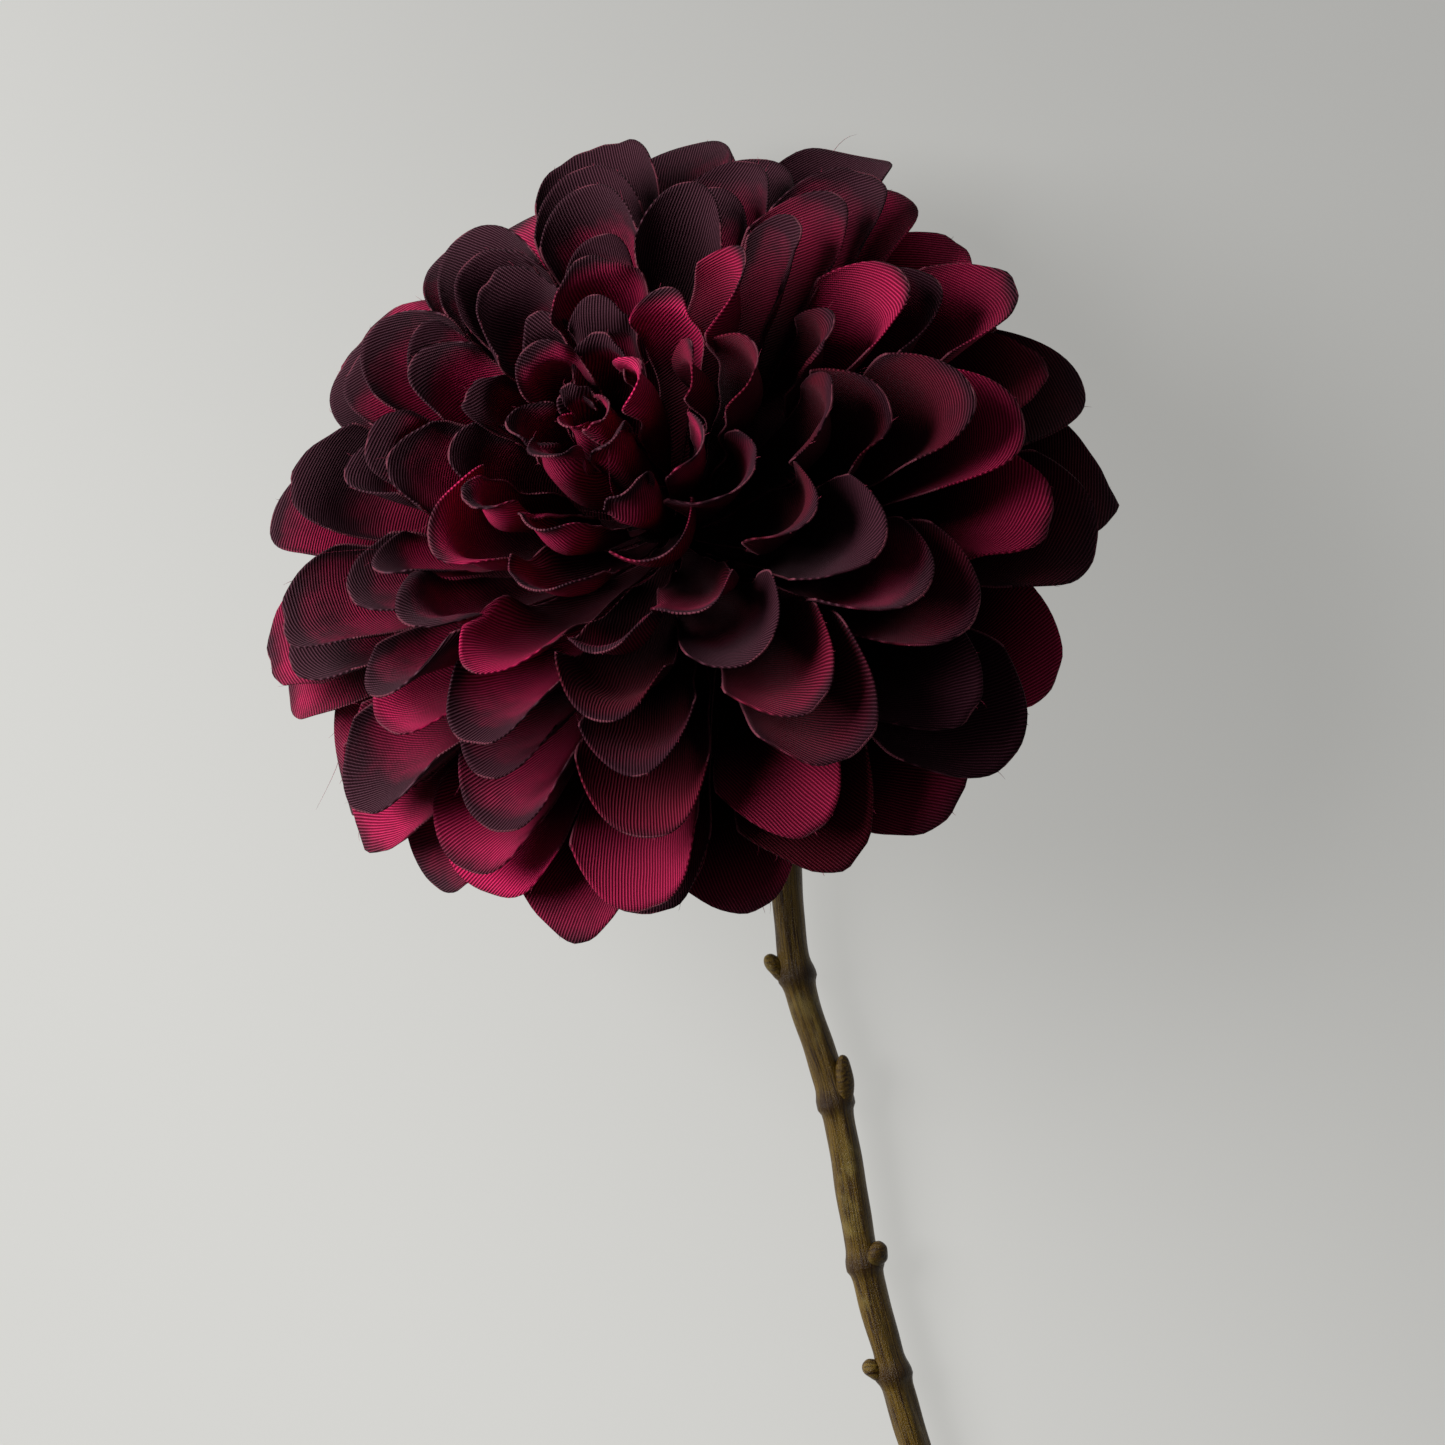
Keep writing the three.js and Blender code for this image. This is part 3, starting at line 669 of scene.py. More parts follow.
@dataclass(frozen=True)
class PetalDyeAndShade:
    """How the petals took the dye, and where painted shade and painted light fall on them. A pair says
    where along a draw, a cosine or a petal a step runs.
    """

    plum_turn: float = math.radians(55)
    plum_side: Pair = (0.1, 0.95)
    plum_layers: range = range(2, 8)
    plum_side_elsewhere: float = 0.3
    # Painted shade: the side of the bloom away from the window is darker, fully from a middle layer
    # outward.
    shaded_turn: float = math.radians(-125)
    shaded_side: Pair = (-0.2, 0.8)
    shaded_layer: int = 5
    outer_layers: Pair = (5, 9)
    outer_loss: float = 0.35
    side_reach: float = 0.4
    side_strength: float = 0.7
    strong: Pair = (0.1, 0.9)
    tip: Pair = (0.95, 1.08)
    tip_reach: float = 0.45
    edge: Pair = (0.2, 2.2)
    edge_reach: float = 2.0
    tip_plum: float = 0.75
    least_tip: float = 0.35
    edge_plum: float = 0.35
    strong_plum: float = 0.5
    darkened_plum: float = 0.85
    darkened: Pair = (0.4, 0.7)
    depth: float = 0.22
    depth_spread: float = 0.35
    tip_depth: float = 0.2
    # How much painted shade the far side adds to the red's depth.
    side_shade: float = 0.75
    # The throat's painted shade: how dark it is, and where along the petal it fades.
    core: float = 0.95
    # A painted light from within: in some petals the throat's painted shade is lifted a little.
    painted_glow: float = 0.45
    painted_glow_draws: Pair = (0.55, 0.9)
    core_from: Pair = (0.52, 0.66)
    core_to: float = 1.0
    core_spread: float = 0.05

    def values(
        self, layer: int, traits: PetalTraits, surface: PetalSurface, darkened: Array
    ) -> dict[str, Array]:
        """How much plum the petals took up, how deep the red is and how dark the throat is painted, 0 to 1.

        The plum gathers at tips and edges and on one side of the bloom, less in the outer layers, and
        covers the petals that are darkened one by one. The red's depth is drawn per petal, less towards the
        tip, and painted shade deepens it on the side of the bloom away from the window. Painted shade makes
        the throat nearly black from the root to far along the petal, and a painted light from within lifts
        it a little in some petals.

        Args:
            layer: The layer.
            traits: The petals' traits.
            surface: Their grids.
            darkened: 1 for the petals that are darkened, else 0.

        Returns:
            The point values dye, shade and the throat's painted shade.
        """
        number = traits.number
        outer = smoothstep(layer, *self.outer_layers)
        plum_side = smoothstep(np.cos(traits.turn - self.plum_turn), *self.plum_side)
        plum_side = plum_side * (1 if layer in self.plum_layers else self.plum_side_elsewhere)
        # Painted shade on the side of the bloom away from the window.
        shaded_side = smoothstep(np.cos(traits.turn - self.shaded_turn), *self.shaded_side)
        shaded_side = shaded_side * min(1.0, layer / self.shaded_layer)
        reach = np.clip(0.5 * (1 + wander(number, Draw.PLUM_REACH)) + self.side_reach * plum_side, 0, 1)
        strong = smoothstep(wander(number, Draw.PLUM) + self.side_strength * plum_side, *self.strong)
        near_tip = smoothstep(surface.share, self.tip[0] - self.tip_reach * reach, self.tip[1])
        near_edge = 1 - smoothstep(surface.edge, self.edge[0], self.edge[1] + self.edge_reach * reach)
        plum = self.tip_plum * near_tip * lerp(self.least_tip, 1, reach)
        plum = plum + self.edge_plum * near_edge + self.strong_plum * strong * near_tip
        plum = plum * (1 - self.outer_loss * outer)
        plum = plum + self.darkened_plum * darkened * smoothstep(surface.share, *self.darkened)
        # The red's depth: a draw per petal, less towards the tip, plus painted shade on the far side.
        depth = self.depth + self.depth_spread * wander(number, Draw.DEPTH)
        depth = depth - self.tip_depth * near_tip + self.side_shade * shaded_side
        # Painted light from within, lifting the throat's painted shade in some petals.
        painted_glow = smoothstep(wander(number, Draw.PAINTED_THROAT_GLOW), *self.painted_glow_draws)
        # Painted shade in the throat, from the root to far along the petal, fading later in outer layers.
        lit_from = self.core_to + self.core_spread * wander(number, Draw.THROAT_SHADE_REACH)
        lit = smoothstep(surface.share, lerp(*self.core_from, outer), lit_from)
        core = (self.core - self.painted_glow * painted_glow) * (1 - lit)
        full = 0 * plum
        return {"dye": np.clip(plum, 0, 1), "shade": np.clip(depth, 0, 1) + full, "core": core + full}


@dataclass(frozen=True)
class ThreadEnds:
    """Loose thread ends round the petals' rims, as thin cones that bend away from the cloth."""

    per_petal: int = 6
    rings: int = 5
    sides: int = 4
    radius: float = 0.045
    taper: float = 0.7
    rim_width: int = 2
    length: float = 0.75
    length_spread: float = 0.5
    long: float = 6.5
    long_above: float = 0.98
    slant: float = 0.1
    sag: float = 0.7
    first_number: int = 5000

    def shells(self, layer: int, middle: Array) -> Shell:
        """The thread ends of a layer.

        Each starts at a drawn place of the rim and follows start + length (t (out - slant bend) +
        t^2 sag bend), where out is the way from the cloth past its rim and bend is drawn. One in a
        hundred is long.

        Args:
            layer: The layer.
            middle: Middle points of the petals, petals by rows by columns by 3.

        Returns:
            The points and the faces.
        """
        petals, rows, columns = middle.shape[:3]
        side = np.arange(rows // 2, rows - 1)
        rim_row = np.concatenate([side, np.full(columns, rows - 1), side[::-1]])
        rim_column = np.concatenate([0 * side, np.arange(columns), 0 * side + columns - 1])
        beside = np.clip(rim_column, self.rim_width, columns - 1 - self.rim_width)
        inner_row = np.where(rim_row == rows - 1, rim_row - self.rim_width, rim_row)
        inner_column = np.where(rim_row == rows - 1, rim_column, beside)
        count = petals * self.per_petal
        number = self.first_number * (layer + 1) + np.arange(count)
        petal = np.arange(count) % petals
        place = ((wander(number, Draw.THREAD_PLACE) + 1) / 2 * (len(rim_row) - 1)).astype(int)
        start = middle[petal, rim_row[place], rim_column[place]]
        out = unit(start - middle[petal, inner_row[place], inner_column[place]])
        bend = np.stack([wander(number, Draw.THREAD_BEND + axis) for axis in range(3)], -1)
        first = unit(np.cross(out, bend))
        second = np.cross(out, first)
        length = self.length + self.length_spread * wander(number, Draw.THREAD_LENGTH)
        length = length + self.long * (wander(number, Draw.THREAD_LONG) > self.long_above)
        step = np.linspace(0, 1, self.rings).reshape(1, -1, 1)
        leave, curve = (way[:, None, None] for way in (out - self.slant * bend, self.sag * bend))
        spine = step[..., None] * leave + step[..., None] ** 2 * curve
        radius = self.radius * (1 - self.taper * step)
        ring = circle(radius, turns(self.sides), first[:, None, None], second[:, None, None])
        points = start[:, None, None] + length[:, None, None, None] * spine + ring
        corner = np.arange(self.sides)
        caps = np.stack([corner[::-1], corner + self.sides * (self.rings - 1)])
        one = np.concatenate([grid_faces(self.rings, self.sides, closed=True), caps])
        return points.reshape(-1, 3), copies(one, count, self.sides * self.rings)


@dataclass
class Bloom:
    """Eleven layers of cupped petals round the flower's axis, each a fan of curves in side view.

    Layers count from 0 at the heart. Turns are from the bloom's low side. A pair of numbers in an "at"
    field says where along a petal, from 0 to 1, a smooth step starts and ends.

    The fold is a petal's cup, and roll and curl turn the cup to one side. Lean and stagger lift a petal
    towards the layer inside, spoon and hood lift its tip, and the lip bends the tip's edge back. Flare
    spreads the corners of its walls. Ruffles and wavers are small waves of its rim. Press is how far
    the surface under the bloom flattens a petal. A bud is a petal that stays rolled up.
    """

    frame: HeadFrame
    cloth: bpy.types.Material
    # Dye, with painted shade on the far side and in the throats, and a painted light from within.
    dye: PetalDyeAndShade = PetalDyeAndShade()
    threads: ThreadEnds = ThreadEnds()
    head_radius: float = 70.0
    head_front: float = 41.0
    layers: int = 11
    outer_count: int = 14
    inner_counts: tuple[int, ...] = (4, 6, 10, 10)
    layer_numbers: int = 16
    tip_angles: tuple[float, ...] = (6, 14, 24, 31, 43, 50.5, 63, 72, 86, 97, 107)
    root_radius: float = 4.4
    root_share: float = 0.9
    first_hub: float = 16.0
    hub_pitch: float = 4.0
    hub_half: float = 1.1
    hub_bore: float = 1.95
    sleeve_radius: float = 3.4
    sleeve_gap: float = 1.4
    heart_sleeve: float = 2.1
    hub_radii: Triple = (4.9, 0.4, 6.2)
    hub_sides: int = 28
    hub_edge: float = 9.0
    heart_foot: Pair = (2.4, 3.0)
    heart_radius: float = 1.2
    column_shift: float = math.radians(6)
    layer_twist: float = math.radians(3)
    turn_spread: float = math.radians(1.4)
    heart_scatter: float = 2.6
    even_layer: int = 6
    length_spread: float = 0.05
    width_spread: float = 0.07
    heart_width: float = 12.0
    full_width: float = 33.5
    full_width_layer: float = 9.0
    width_growth: float = 0.8
    strip_at: Pair = (-0.05, 0.6)
    wall_gap: float = 1.0
    least_room: float = 0.4
    outer_room: float = 0.96
    inner_room: float = 0.87
    room_sharpness: float = 6.0
    opening: float = math.radians(70)
    least_share: float = 0.01
    oval: float = 0.85
    oval_spread: float = 0.12
    blunt: float = 2.6
    blunt_spread: float = 0.35
    marked: tuple[tuple[int, int, float, float], ...] = (
        (1, 4, 1.10, 1.3), (2, 7, 1.05, 1.3), (6, 0, 1.03, 2.4), (7, 1, 1.03, 2.4),
        (7, 2, 1.04, 2.4), (7, 4, 1.05, 2.4), (7, 10, 1.05, 2.4), (7, 12, 0.97, 2.4),
        (7, 13, 1.08, 4.0), (8, 0, 1.10, 2.4), (8, 1, 1.10, 2.4), (8, 3, 1.05, 2.4),
        (8, 11, 0.95, 2.4), (8, 12, 1.06, 8.0), (8, 13, 1.09, 2.4), (9, 3, 1.07, 2.2),
        (9, 4, 1.05, 1.4), (9, 6, 0.97, 2.4), (9, 8, 1.07, 2.4), (9, 9, 1.04, 3.5),
        (9, 10, 1.02, 2.4), (9, 11, 0.95, 2.2), (9, 12, 0.98, 4.0), (10, 3, 1.10, 2.4),
        (10, 4, 1.03, 2.4), (10, 5, 1.04, 1.4), (10, 7, 1.04, 2.4), (10, 8, 1.04, 2.4),
        (10, 9, 1.08, 1.3),
    )
    darkened: tuple[tuple[int, int], ...] = (
        (2, 0), (4, 0), (4, 12), (5, 8), (6, 13), (7, 12), (7, 13), (8, 8), (8, 12), (9, 8), (9, 12),
    )
    buds: tuple[tuple[int, int], ...] = ((0, 1), (1, 1), (1, 2), (1, 3), (2, 3), (2, 4), (2, 5))
    bud_fold: float = 1.9
    folds: tuple[float, ...] = (0.8, 1.1, 1.25, 1.25, 1.3, 1.3, 1.2, 1.15, 1.0, 0.9, 0.75)
    fold_spread: float = 0.12
    fold_at: Pair = (0.1, 0.36)
    least_fold: float = 0.001
    steepest_wall: float = 1.3
    column_offsets: tuple[float, ...] = (0.5, 0.5, 0.5, 0.5, 1, 1, 1, 1, 0.7, 0.7, 1)
    bound_layers: tuple[int, ...] = (0, 1, 2, 4, 8, 10)
    bound_share: float = 0.75
    bow: float = 0.25
    leave_reach: float = 0.4
    arrive_reach: float = 0.33
    tip_lean_share: float = 1.1
    tip_lean_offset: float = math.radians(8)
    roll: float = 0.16
    lean: float = 0.14
    lean_at: Pair = (0.25, 1.0)
    stagger: float = 0.12
    stagger_at: Pair = (0.05, 0.4)
    spoons: tuple[float, ...] = (0.12, 0.2, 0.3, 0.35, 0.38, 0.38, 0.35, 0.25, 0.12, 0.1, 0.1)
    spoon_spread: float = 0.8
    spoon_at: Pair = (0.7, 1.0)
    hood: float = 0.5
    hood_draws: Pair = (0.0, 0.8)
    hood_at: Pair = (0.4, 1.0)
    hooded_layers: int = 3
    highest: float = 0.76
    press_cosines: Pair = (0.3, 0.72)
    pressed_reach: float = 65.0
    pressed_root_lean: float = math.radians(88)
    pressed_height: float = 0.13
    pressed_cup: float = 0.4
    cloth_thickness: float = 0.3
    rows: int = 34
    columns: int = 25
    row_crowding: float = 1.25
    length_ticks: int = 201
    ruffle: float = 0.35
    heart_ruffle: float = 1.1
    ruffle_spread: float = 0.6
    ruffle_spreads: Pair = (0.35, 1.0)
    ruffle_at: Pair = (0.3, 0.8)
    ruffle_waves: tuple[tuple[float, int, int, Draw], ...] = (
        (1.0, 11, 0, Draw.RUFFLE_PHASE),
        (0.7, 19, 4, Draw.RUFFLE_SECOND_PHASE),
    )
    curl: float = 0.2
    heart_curl: float = 0.9
    curl_at: Pair = (0.4, 1.0)
    flare: float = 0.14
    flare_spread: float = 0.7
    flare_drop: float = 0.12
    flare_spreads: Pair = (0.55, 1.0)
    wall_at: Pair = (0.3, 0.6)
    wall_ends_at: Pair = (0.6, 0.95)
    tip_lip: float = 1.1
    lip_at: Pair = (0.84, 1.02)
    tip_waver: float = 0.3
    tip_waves: tuple[tuple[float, int, Draw], ...] = (
        (1.0, 7, Draw.WAVER_PHASE),
        (0.6, 15, Draw.WAVER_SECOND_PHASE),
    )
    waver_phases: float = 5.0

    def count(self, layer: int) -> int:
        """How many petals a layer has."""
        return self.inner_counts[layer] if layer < len(self.inner_counts) else self.outer_count

    def chosen(self, layer: int, places: tuple[tuple[int, int], ...]) -> Array:
        """Marks a layer's petals that are in a list of layers and indices: 1 for those, else 0."""
        marks = np.array([float((layer, place) in places) for place in range(self.count(layer))])
        return marks.reshape(-1, 1, 1)

    def first_of_pair(self, layer: int) -> int:
        """The inner layer of the pair that a layer belongs to."""
        return layer - layer % 2 if layer > 1 else layer

    def hub_height(self, layer: int) -> float:
        """How high on the axis the middle of a layer's hub lies."""
        return self.first_hub - self.hub_pitch * layer

    def press_share(self, layer: int, turn: Array) -> Array:
        """How far the surface under the bloom flattens a petal, from 0 to 1: the last layer's low ones."""
        low = smoothstep(np.cos(turn), *self.press_cosines)
        return low if layer == self.layers - 1 else np.zeros_like(low)

    def profile(self, layer: int, turn: Array) -> Array:
        """The side view of a layer's petals: a cubic curve from its hub to the head's flattened ball.

        The hubs step down the axis, and the tips lie on the ball at the layers' tip angles. The curve
        leaves the hub bowed a little from the straight way to the tip, and it arrives nearly along the
        axis in the heart and drooping at the rim. A pressed petal instead ends flat on the surface.

        Args:
            layer: The layer, or -1 for the heart's own axis.
            turn: The petals' turns, petals by 1 by 1.

        Returns:
            Control points, petals by 4 by 2, as radius and height.
        """
        turn = turn.reshape(-1)
        if layer < 0:
            foot = np.array([self.heart_foot[0], self.first_hub + self.heart_foot[1]])
            top = np.array([self.heart_radius, self.head_front])
            line = np.stack([lerp(foot, top, share) for share in (0, 1 / 3, 2 / 3, 1)])
            return np.broadcast_to(line, (len(turn), 4, 2))
        tip_angle = math.radians(self.tip_angles[layer])
        hub = np.array([self.root_radius, self.hub_height(layer)])
        free_tip = np.array([self.head_radius * math.sin(tip_angle), self.head_front * math.cos(tip_angle)])
        straight = math.atan2(free_tip[0] - hub[0], free_tip[1] - hub[1])
        tip_lean = self.tip_lean_share * tip_angle + self.tip_lean_offset
        root_lean = straight + self.bow * (straight - tip_lean)
        rise = self.frame.rise
        press = self.press_share(layer, turn)
        fall = self.pressed_reach * math.cos(rise) * np.cos(turn)
        low_height = (self.pressed_height - self.frame.centre[2] + fall) / math.sin(rise)
        low_lean = np.arctan2(math.sin(rise), math.cos(rise) * np.cos(turn))
        low_tip = np.stack([np.full_like(low_height, self.pressed_reach), low_height], -1)
        tip = lerp(free_tip, low_tip, press[:, None])
        leave_angle = lerp(root_lean, self.pressed_root_lean, press)
        arrive_angle = lerp(tip_lean, low_lean, press)
        reach = np.linalg.norm(tip - hub, axis=-1, keepdims=True)
        leave = np.stack([np.sin(leave_angle), np.cos(leave_angle)], -1) * self.leave_reach * reach
        arrive = np.stack([np.sin(arrive_angle), np.cos(arrive_angle)], -1) * self.arrive_reach * reach
        return np.stack([np.broadcast_to(hub, tip.shape), hub + leave, tip - arrive, tip], 1)

    def traits(self, layer: int) -> PetalTraits:
        """The sizes of a layer's petals, with a small repeatable draw for each.

        The draws scatter more in the heart. The second layer of a pair shares the draws that keep its
        petals nested in those of the first. The marked petals have a stretch and a tip form of their own.

        Args:
            layer: The layer.

        Returns:
            The traits.
        """
        count = self.count(layer)
        index = np.arange(count).reshape(-1, 1, 1)
        number = layer * self.layer_numbers + index
        first = self.first_of_pair(layer)
        nested = first * self.layer_numbers + index
        column = (index + self.column_offsets[layer]) * 2 * math.pi / count + self.column_shift
        inner_of_pair = layer == first and layer < self.layers - 1
        evenness = min(1.0, first / self.even_layer)
        scatter = lerp(self.heart_scatter, 1, evenness)
        turn = column + wander(first, Draw.TWIST) * self.layer_twist
        turn = turn + wander(nested, Draw.TURN) * self.turn_spread * scatter
        growth = min(1.0, layer / self.full_width_layer) ** self.width_growth
        width = lerp(self.heart_width, self.full_width, growth)
        press = self.press_share(layer, turn)
        free = 1 - press
        bud = self.chosen(layer, self.buds)
        stretch = 1 + wander(number, Draw.LENGTH) * self.length_spread * scatter
        blunt = self.blunt * (1 + wander(number, Draw.BLUNT) * self.blunt_spread)
        for marked_layer, place, marked_stretch, marked_blunt in self.marked:
            if marked_layer == layer:
                stretch[place] = marked_stretch
                blunt[place] = marked_blunt
        fold = self.folds[layer] * (1 + wander(nested, Draw.FOLD) * self.fold_spread)
        curl = lerp(self.heart_curl, self.curl, evenness) * wander(number, Draw.CURL)
        return PetalTraits(
            number=number,
            turn=turn,
            stretch=stretch,
            width=width * (1 + wander(number, Draw.WIDTH) * self.width_spread * scatter),
            oval=self.oval + wander(number, Draw.OVAL) * self.oval_spread,
            blunt=blunt,
            root=self.root_share * math.pi * self.root_radius / count,
            room=(self.inner_room if inner_of_pair else self.outer_room) * math.pi / count,
            fold=fold * lerp(1, self.pressed_cup, press),
            lift=(index % 2) * self.stagger * free,
            lean=(1 + wander(nested, Draw.LEAN)) * self.lean * math.sqrt(scatter) * free,
            roll=wander(nested, Draw.ROLL) * self.roll * scatter * free,
            spoon=self.spoons[layer] * (1 + self.spoon_spread * wander(nested, Draw.SPOON)) * free,
            hood=self.hood * smoothstep(wander(number, Draw.HOOD), *self.hood_draws)
            * (layer < self.hooded_layers),
            flare=self.flare * (1 + self.flare_spread * wander(nested, Draw.FLARE)),
            ruffle=lerp(self.heart_ruffle, self.ruffle, evenness),
            curl=curl * free * (1 - bud),
            bud=bud,
            lip=self.tip_lip * (1 + wander(nested, Draw.LIP)) * free,
            press=press,
        )

    def cut(self, traits: PetalTraits, own: Array, across: Array, along: Array) -> FlatPetals:
        """Cuts a layer's petals from flat cloth.

        A petal is a wedge that widens from its root to a shoulder, and an oval end past it. Rows bulge
        towards the tip as arcs of a growing opening, blunted by a power of the place across, and the tip
        wavers by two sines with a drawn strength.

        Args:
            traits: The petals' traits.
            own: The control points of their side view.
            across: The places across, from -1 to 1, 1 by 1 by columns.
            along: The places along, from 0 to 1, 1 by rows by 1.

        Returns:
            The flat petals.
        """
        ticks = bezier(own, np.linspace(0, 1, self.length_ticks).reshape(1, -1, 1))[:, :, 0]
        length = np.linalg.norm(np.diff(ticks, axis=1), axis=-1).sum(1).reshape(-1, 1, 1) * traits.stretch
        half_round = traits.width / 2
        tall = half_round * traits.oval
        shoulder = length - tall
        row = along * (shoulder + tall * math.cos(self.opening))
        angle = self.opening * np.maximum(along, self.least_share)
        spread = np.sin(angle * across) / np.sin(angle)
        waver = sum(
            strength * np.sin(waves * spread + self.waver_phases * wander(traits.number, trait))
            for strength, waves, trait in self.tip_waves
        )
        waver = self.tip_waver * (0.5 + 0.5 * wander(traits.number, Draw.WAVER)) ** 2 * waver * along**6
        bulge = tall * along**2 * (1 - np.cos(angle)) * (1 - np.abs(spread) ** traits.blunt) + waver
        strip = lerp(traits.root, half_round, smoothstep(np.clip(row / shoulder, 0, 1), *self.strip_at))
        past = np.clip((row - shoulder) / tall, 0, 1)
        half = np.where(row > shoulder, half_round * np.sqrt(1 - past**2), strip)
        side_gap = half * (1 - np.abs(spread)) + 0 * row
        tip_gap = shoulder + tall + waver - row - bulge
        return FlatPetals(length, row, bulge, spread, half, np.minimum(side_gap, tip_gap))

    def folded(self, layer: int, traits: PetalTraits, cut: FlatPetals) -> Array:
        """How far each row is folded up at its edges, in radians.

        The fold grows from the root to the cup's. It is no steeper than a wall, and where a layer is
        bound it stays in the space inside: a row of half length h whose edges rise by d has a fold of
        about 2 atan(d / h). The outer layer of a pair follows the inner one, so it is bound by that one's
        space. The buds instead roll up past a half circle.

        Args:
            layer: The layer.
            traits: Its petals' traits.
            cut: Its flat petals.

        Returns:
            The folds, petals by rows by 1.
        """
        grown = smoothstep(cut.row / cut.length, *self.fold_at)
        fold = np.minimum(traits.fold, self.steepest_wall / (1 + np.abs(traits.roll))) * grown
        first = self.first_of_pair(layer)
        bound = math.pi / 2
        if first in self.bound_layers:
            share = cut.row / cut.length * traits.stretch
            own = bezier(self.profile(first, traits.turn), share)
            space = np.linalg.norm(bezier(self.profile(first - 1, traits.turn), share) - own, axis=-1)
            bound = 2 * np.arctan(self.bound_share * space / cut.half)
        fold = np.maximum(np.minimum(fold, bound), self.least_fold)
        return lerp(fold, np.maximum(self.bud_fold * grown, self.least_fold), traits.bud)

    def surface(self, layer: int, traits: PetalTraits, across: Array, along: Array) -> PetalSurface:
        """The middle surface of a layer's petals on a grid of across, -1 to 1, and along, 0 to 1.

        A row is wrapped on an arc of its fold, shifted by the roll and the curl, and no wider than its
        share of the circle at that radius. The corners of its walls flare to the sides. A point lies on
        its layer's side view, raised towards the inner layer's one by that arc, by the stagger of every
        second petal, by its lean and by the spoon and hood of its tip. A bound layer stays below the
        highest share of that space. The ruffles come last.

        Args:
            layer: The layer.
            traits: Its petals' traits.
            across: The places across a petal, a row of numbers.
            along: The places along it, a row of numbers.

        Returns:
            The grids.
        """
        own = self.profile(layer, traits.turn)
        inner = self.profile(layer - 1, traits.turn)
        along = along.reshape(1, -1, 1)
        cut = self.cut(traits, own, across.reshape(1, 1, -1), along)
        spread = cut.spread
        fold = self.folded(layer, traits, cut)
        row_share = cut.row / cut.length * traits.stretch
        room = np.maximum(self.least_room, traits.room * bezier(own, row_share)[..., 0] - self.wall_gap / 2)
        chord = cut.half * np.sin(fold) / fold
        chord = (chord**-self.room_sharpness + room**-self.room_sharpness) ** (-1 / self.room_sharpness)
        bend_radius = chord / np.sin(fold)
        wrap = fold * (spread + traits.roll + traits.curl * smoothstep(row_share, *self.curl_at))
        share = (cut.row + cut.bulge) / cut.length
        walls = smoothstep(share, *self.wall_at) * (1 - smoothstep(along, *self.wall_ends_at))
        rim = smoothstep(np.abs(spread), *self.flare_spreads) ** 2 * walls
        aside = lerp(bend_radius * np.sin(wrap), np.sign(spread) * chord * rim, traits.flare * walls)
        rise = bend_radius * (1 - np.cos(wrap)) * (1 - self.flare_drop * rim)
        base = bezier(own, share * traits.stretch)
        towards = bezier(inner, share * traits.stretch) - base
        gap = np.linalg.norm(towards, axis=-1)
        lifted = rise / gap
        for strength, place in (
            (traits.lift, self.stagger_at),
            (traits.lean, self.lean_at),
            (traits.spoon, self.spoon_at),
            (traits.hood, self.hood_at),
        ):
            lifted = lifted + strength * smoothstep(share, *place)
        if layer in self.bound_layers:
            lifted = np.minimum(lifted, self.highest)
        lifted = lifted + self.ruffled(traits, spread, share) / gap
        place = base + towards * lifted[..., None]
        points = self.frame.place(place[..., 0], traits.turn + aside / place[..., 0], place[..., 1])
        cloth_row = self.root_radius + cut.row + cut.bulge
        flat = np.stack(np.broadcast_arrays(fold * spread * bend_radius, cloth_row), -1)
        return PetalSurface(points, self.on_disc(flat, traits.turn), cut.edge, share + 0 * spread)

    def ruffled(self, traits: PetalTraits, spread: Array, share: Array) -> Array:
        """Small waves that grow towards the edge, two sines with drawn phases, less a lip at the tip.

        Args:
            traits: The petals' traits.
            spread: The place across, from -1 to 1.
            share: The place along, from 0 to 1.

        Returns:
            Heights in millimetres.
        """
        strength = traits.ruffle * (1 + self.ruffle_spread * wander(traits.number, Draw.RUFFLE))
        rim = smoothstep(np.abs(spread), *self.ruffle_spreads) * smoothstep(share, *self.ruffle_at)
        waves = sum(
            height * np.sin(along * share + across * spread + wander(traits.number, trait) * math.pi)
            for height, along, across, trait in self.ruffle_waves
        )
        lip = traits.lip * smoothstep(share, *self.lip_at) ** 2
        return strength * (1 - traits.press) * rim * waves - lip

    @staticmethod
    def on_disc(flat: Array, turn: Array) -> Array:
        """Turns each flat petal to its place on the disc that it was cut from, so the ribs run one way."""
        x, y = np.eye(3)[:2]
        return circle(flat[..., 0], turn, x, y) + circle(flat[..., 1], turn, y, -x)

    def shell(self, middle: Array) -> Shell:
        """Closes a layer's petal grids into thin shells: both faces half the cloth away, and a rim.

        Args:
            middle: Middle points, petals by rows by columns by 3.

        Returns:
            The points and the faces of all petals.
        """
        count, rows, columns = middle.shape[:3]
        normal = np.cross(np.gradient(middle, axis=2), np.gradient(middle, axis=1))
        normal /= np.maximum(np.linalg.norm(normal, axis=-1, keepdims=True), TINY)
        half = normal * self.cloth_thickness / 2
        grids = [(middle + side * half).reshape(count, -1, 3) for side in (1, -1)]
        points = np.concatenate(grids, 1).reshape(-1, 3)
        return points, copies(sheet_faces(rows, columns), count, 2 * rows * columns)

    def hub(self, layer: int) -> Shell:
        """The moulded ring that gathers a layer's petal roots, with a sleeve towards the next hub."""
        middle = self.hub_height(layer)
        low = middle - self.hub_half
        high = middle + self.hub_half
        sleeve = middle + (self.hub_pitch - self.sleeve_gap if layer else self.heart_sleeve)
        least, growth, most = self.hub_radii
        outer = min(most, least + growth * layer)
        outline = [(self.hub_bore, low), (outer, low), (outer, high)]
        outline += [(self.sleeve_radius, high), (self.sleeve_radius, sleeve), (self.hub_bore, sleeve)]
        return revolved(self.frame, np.array(outline), self.hub_sides)

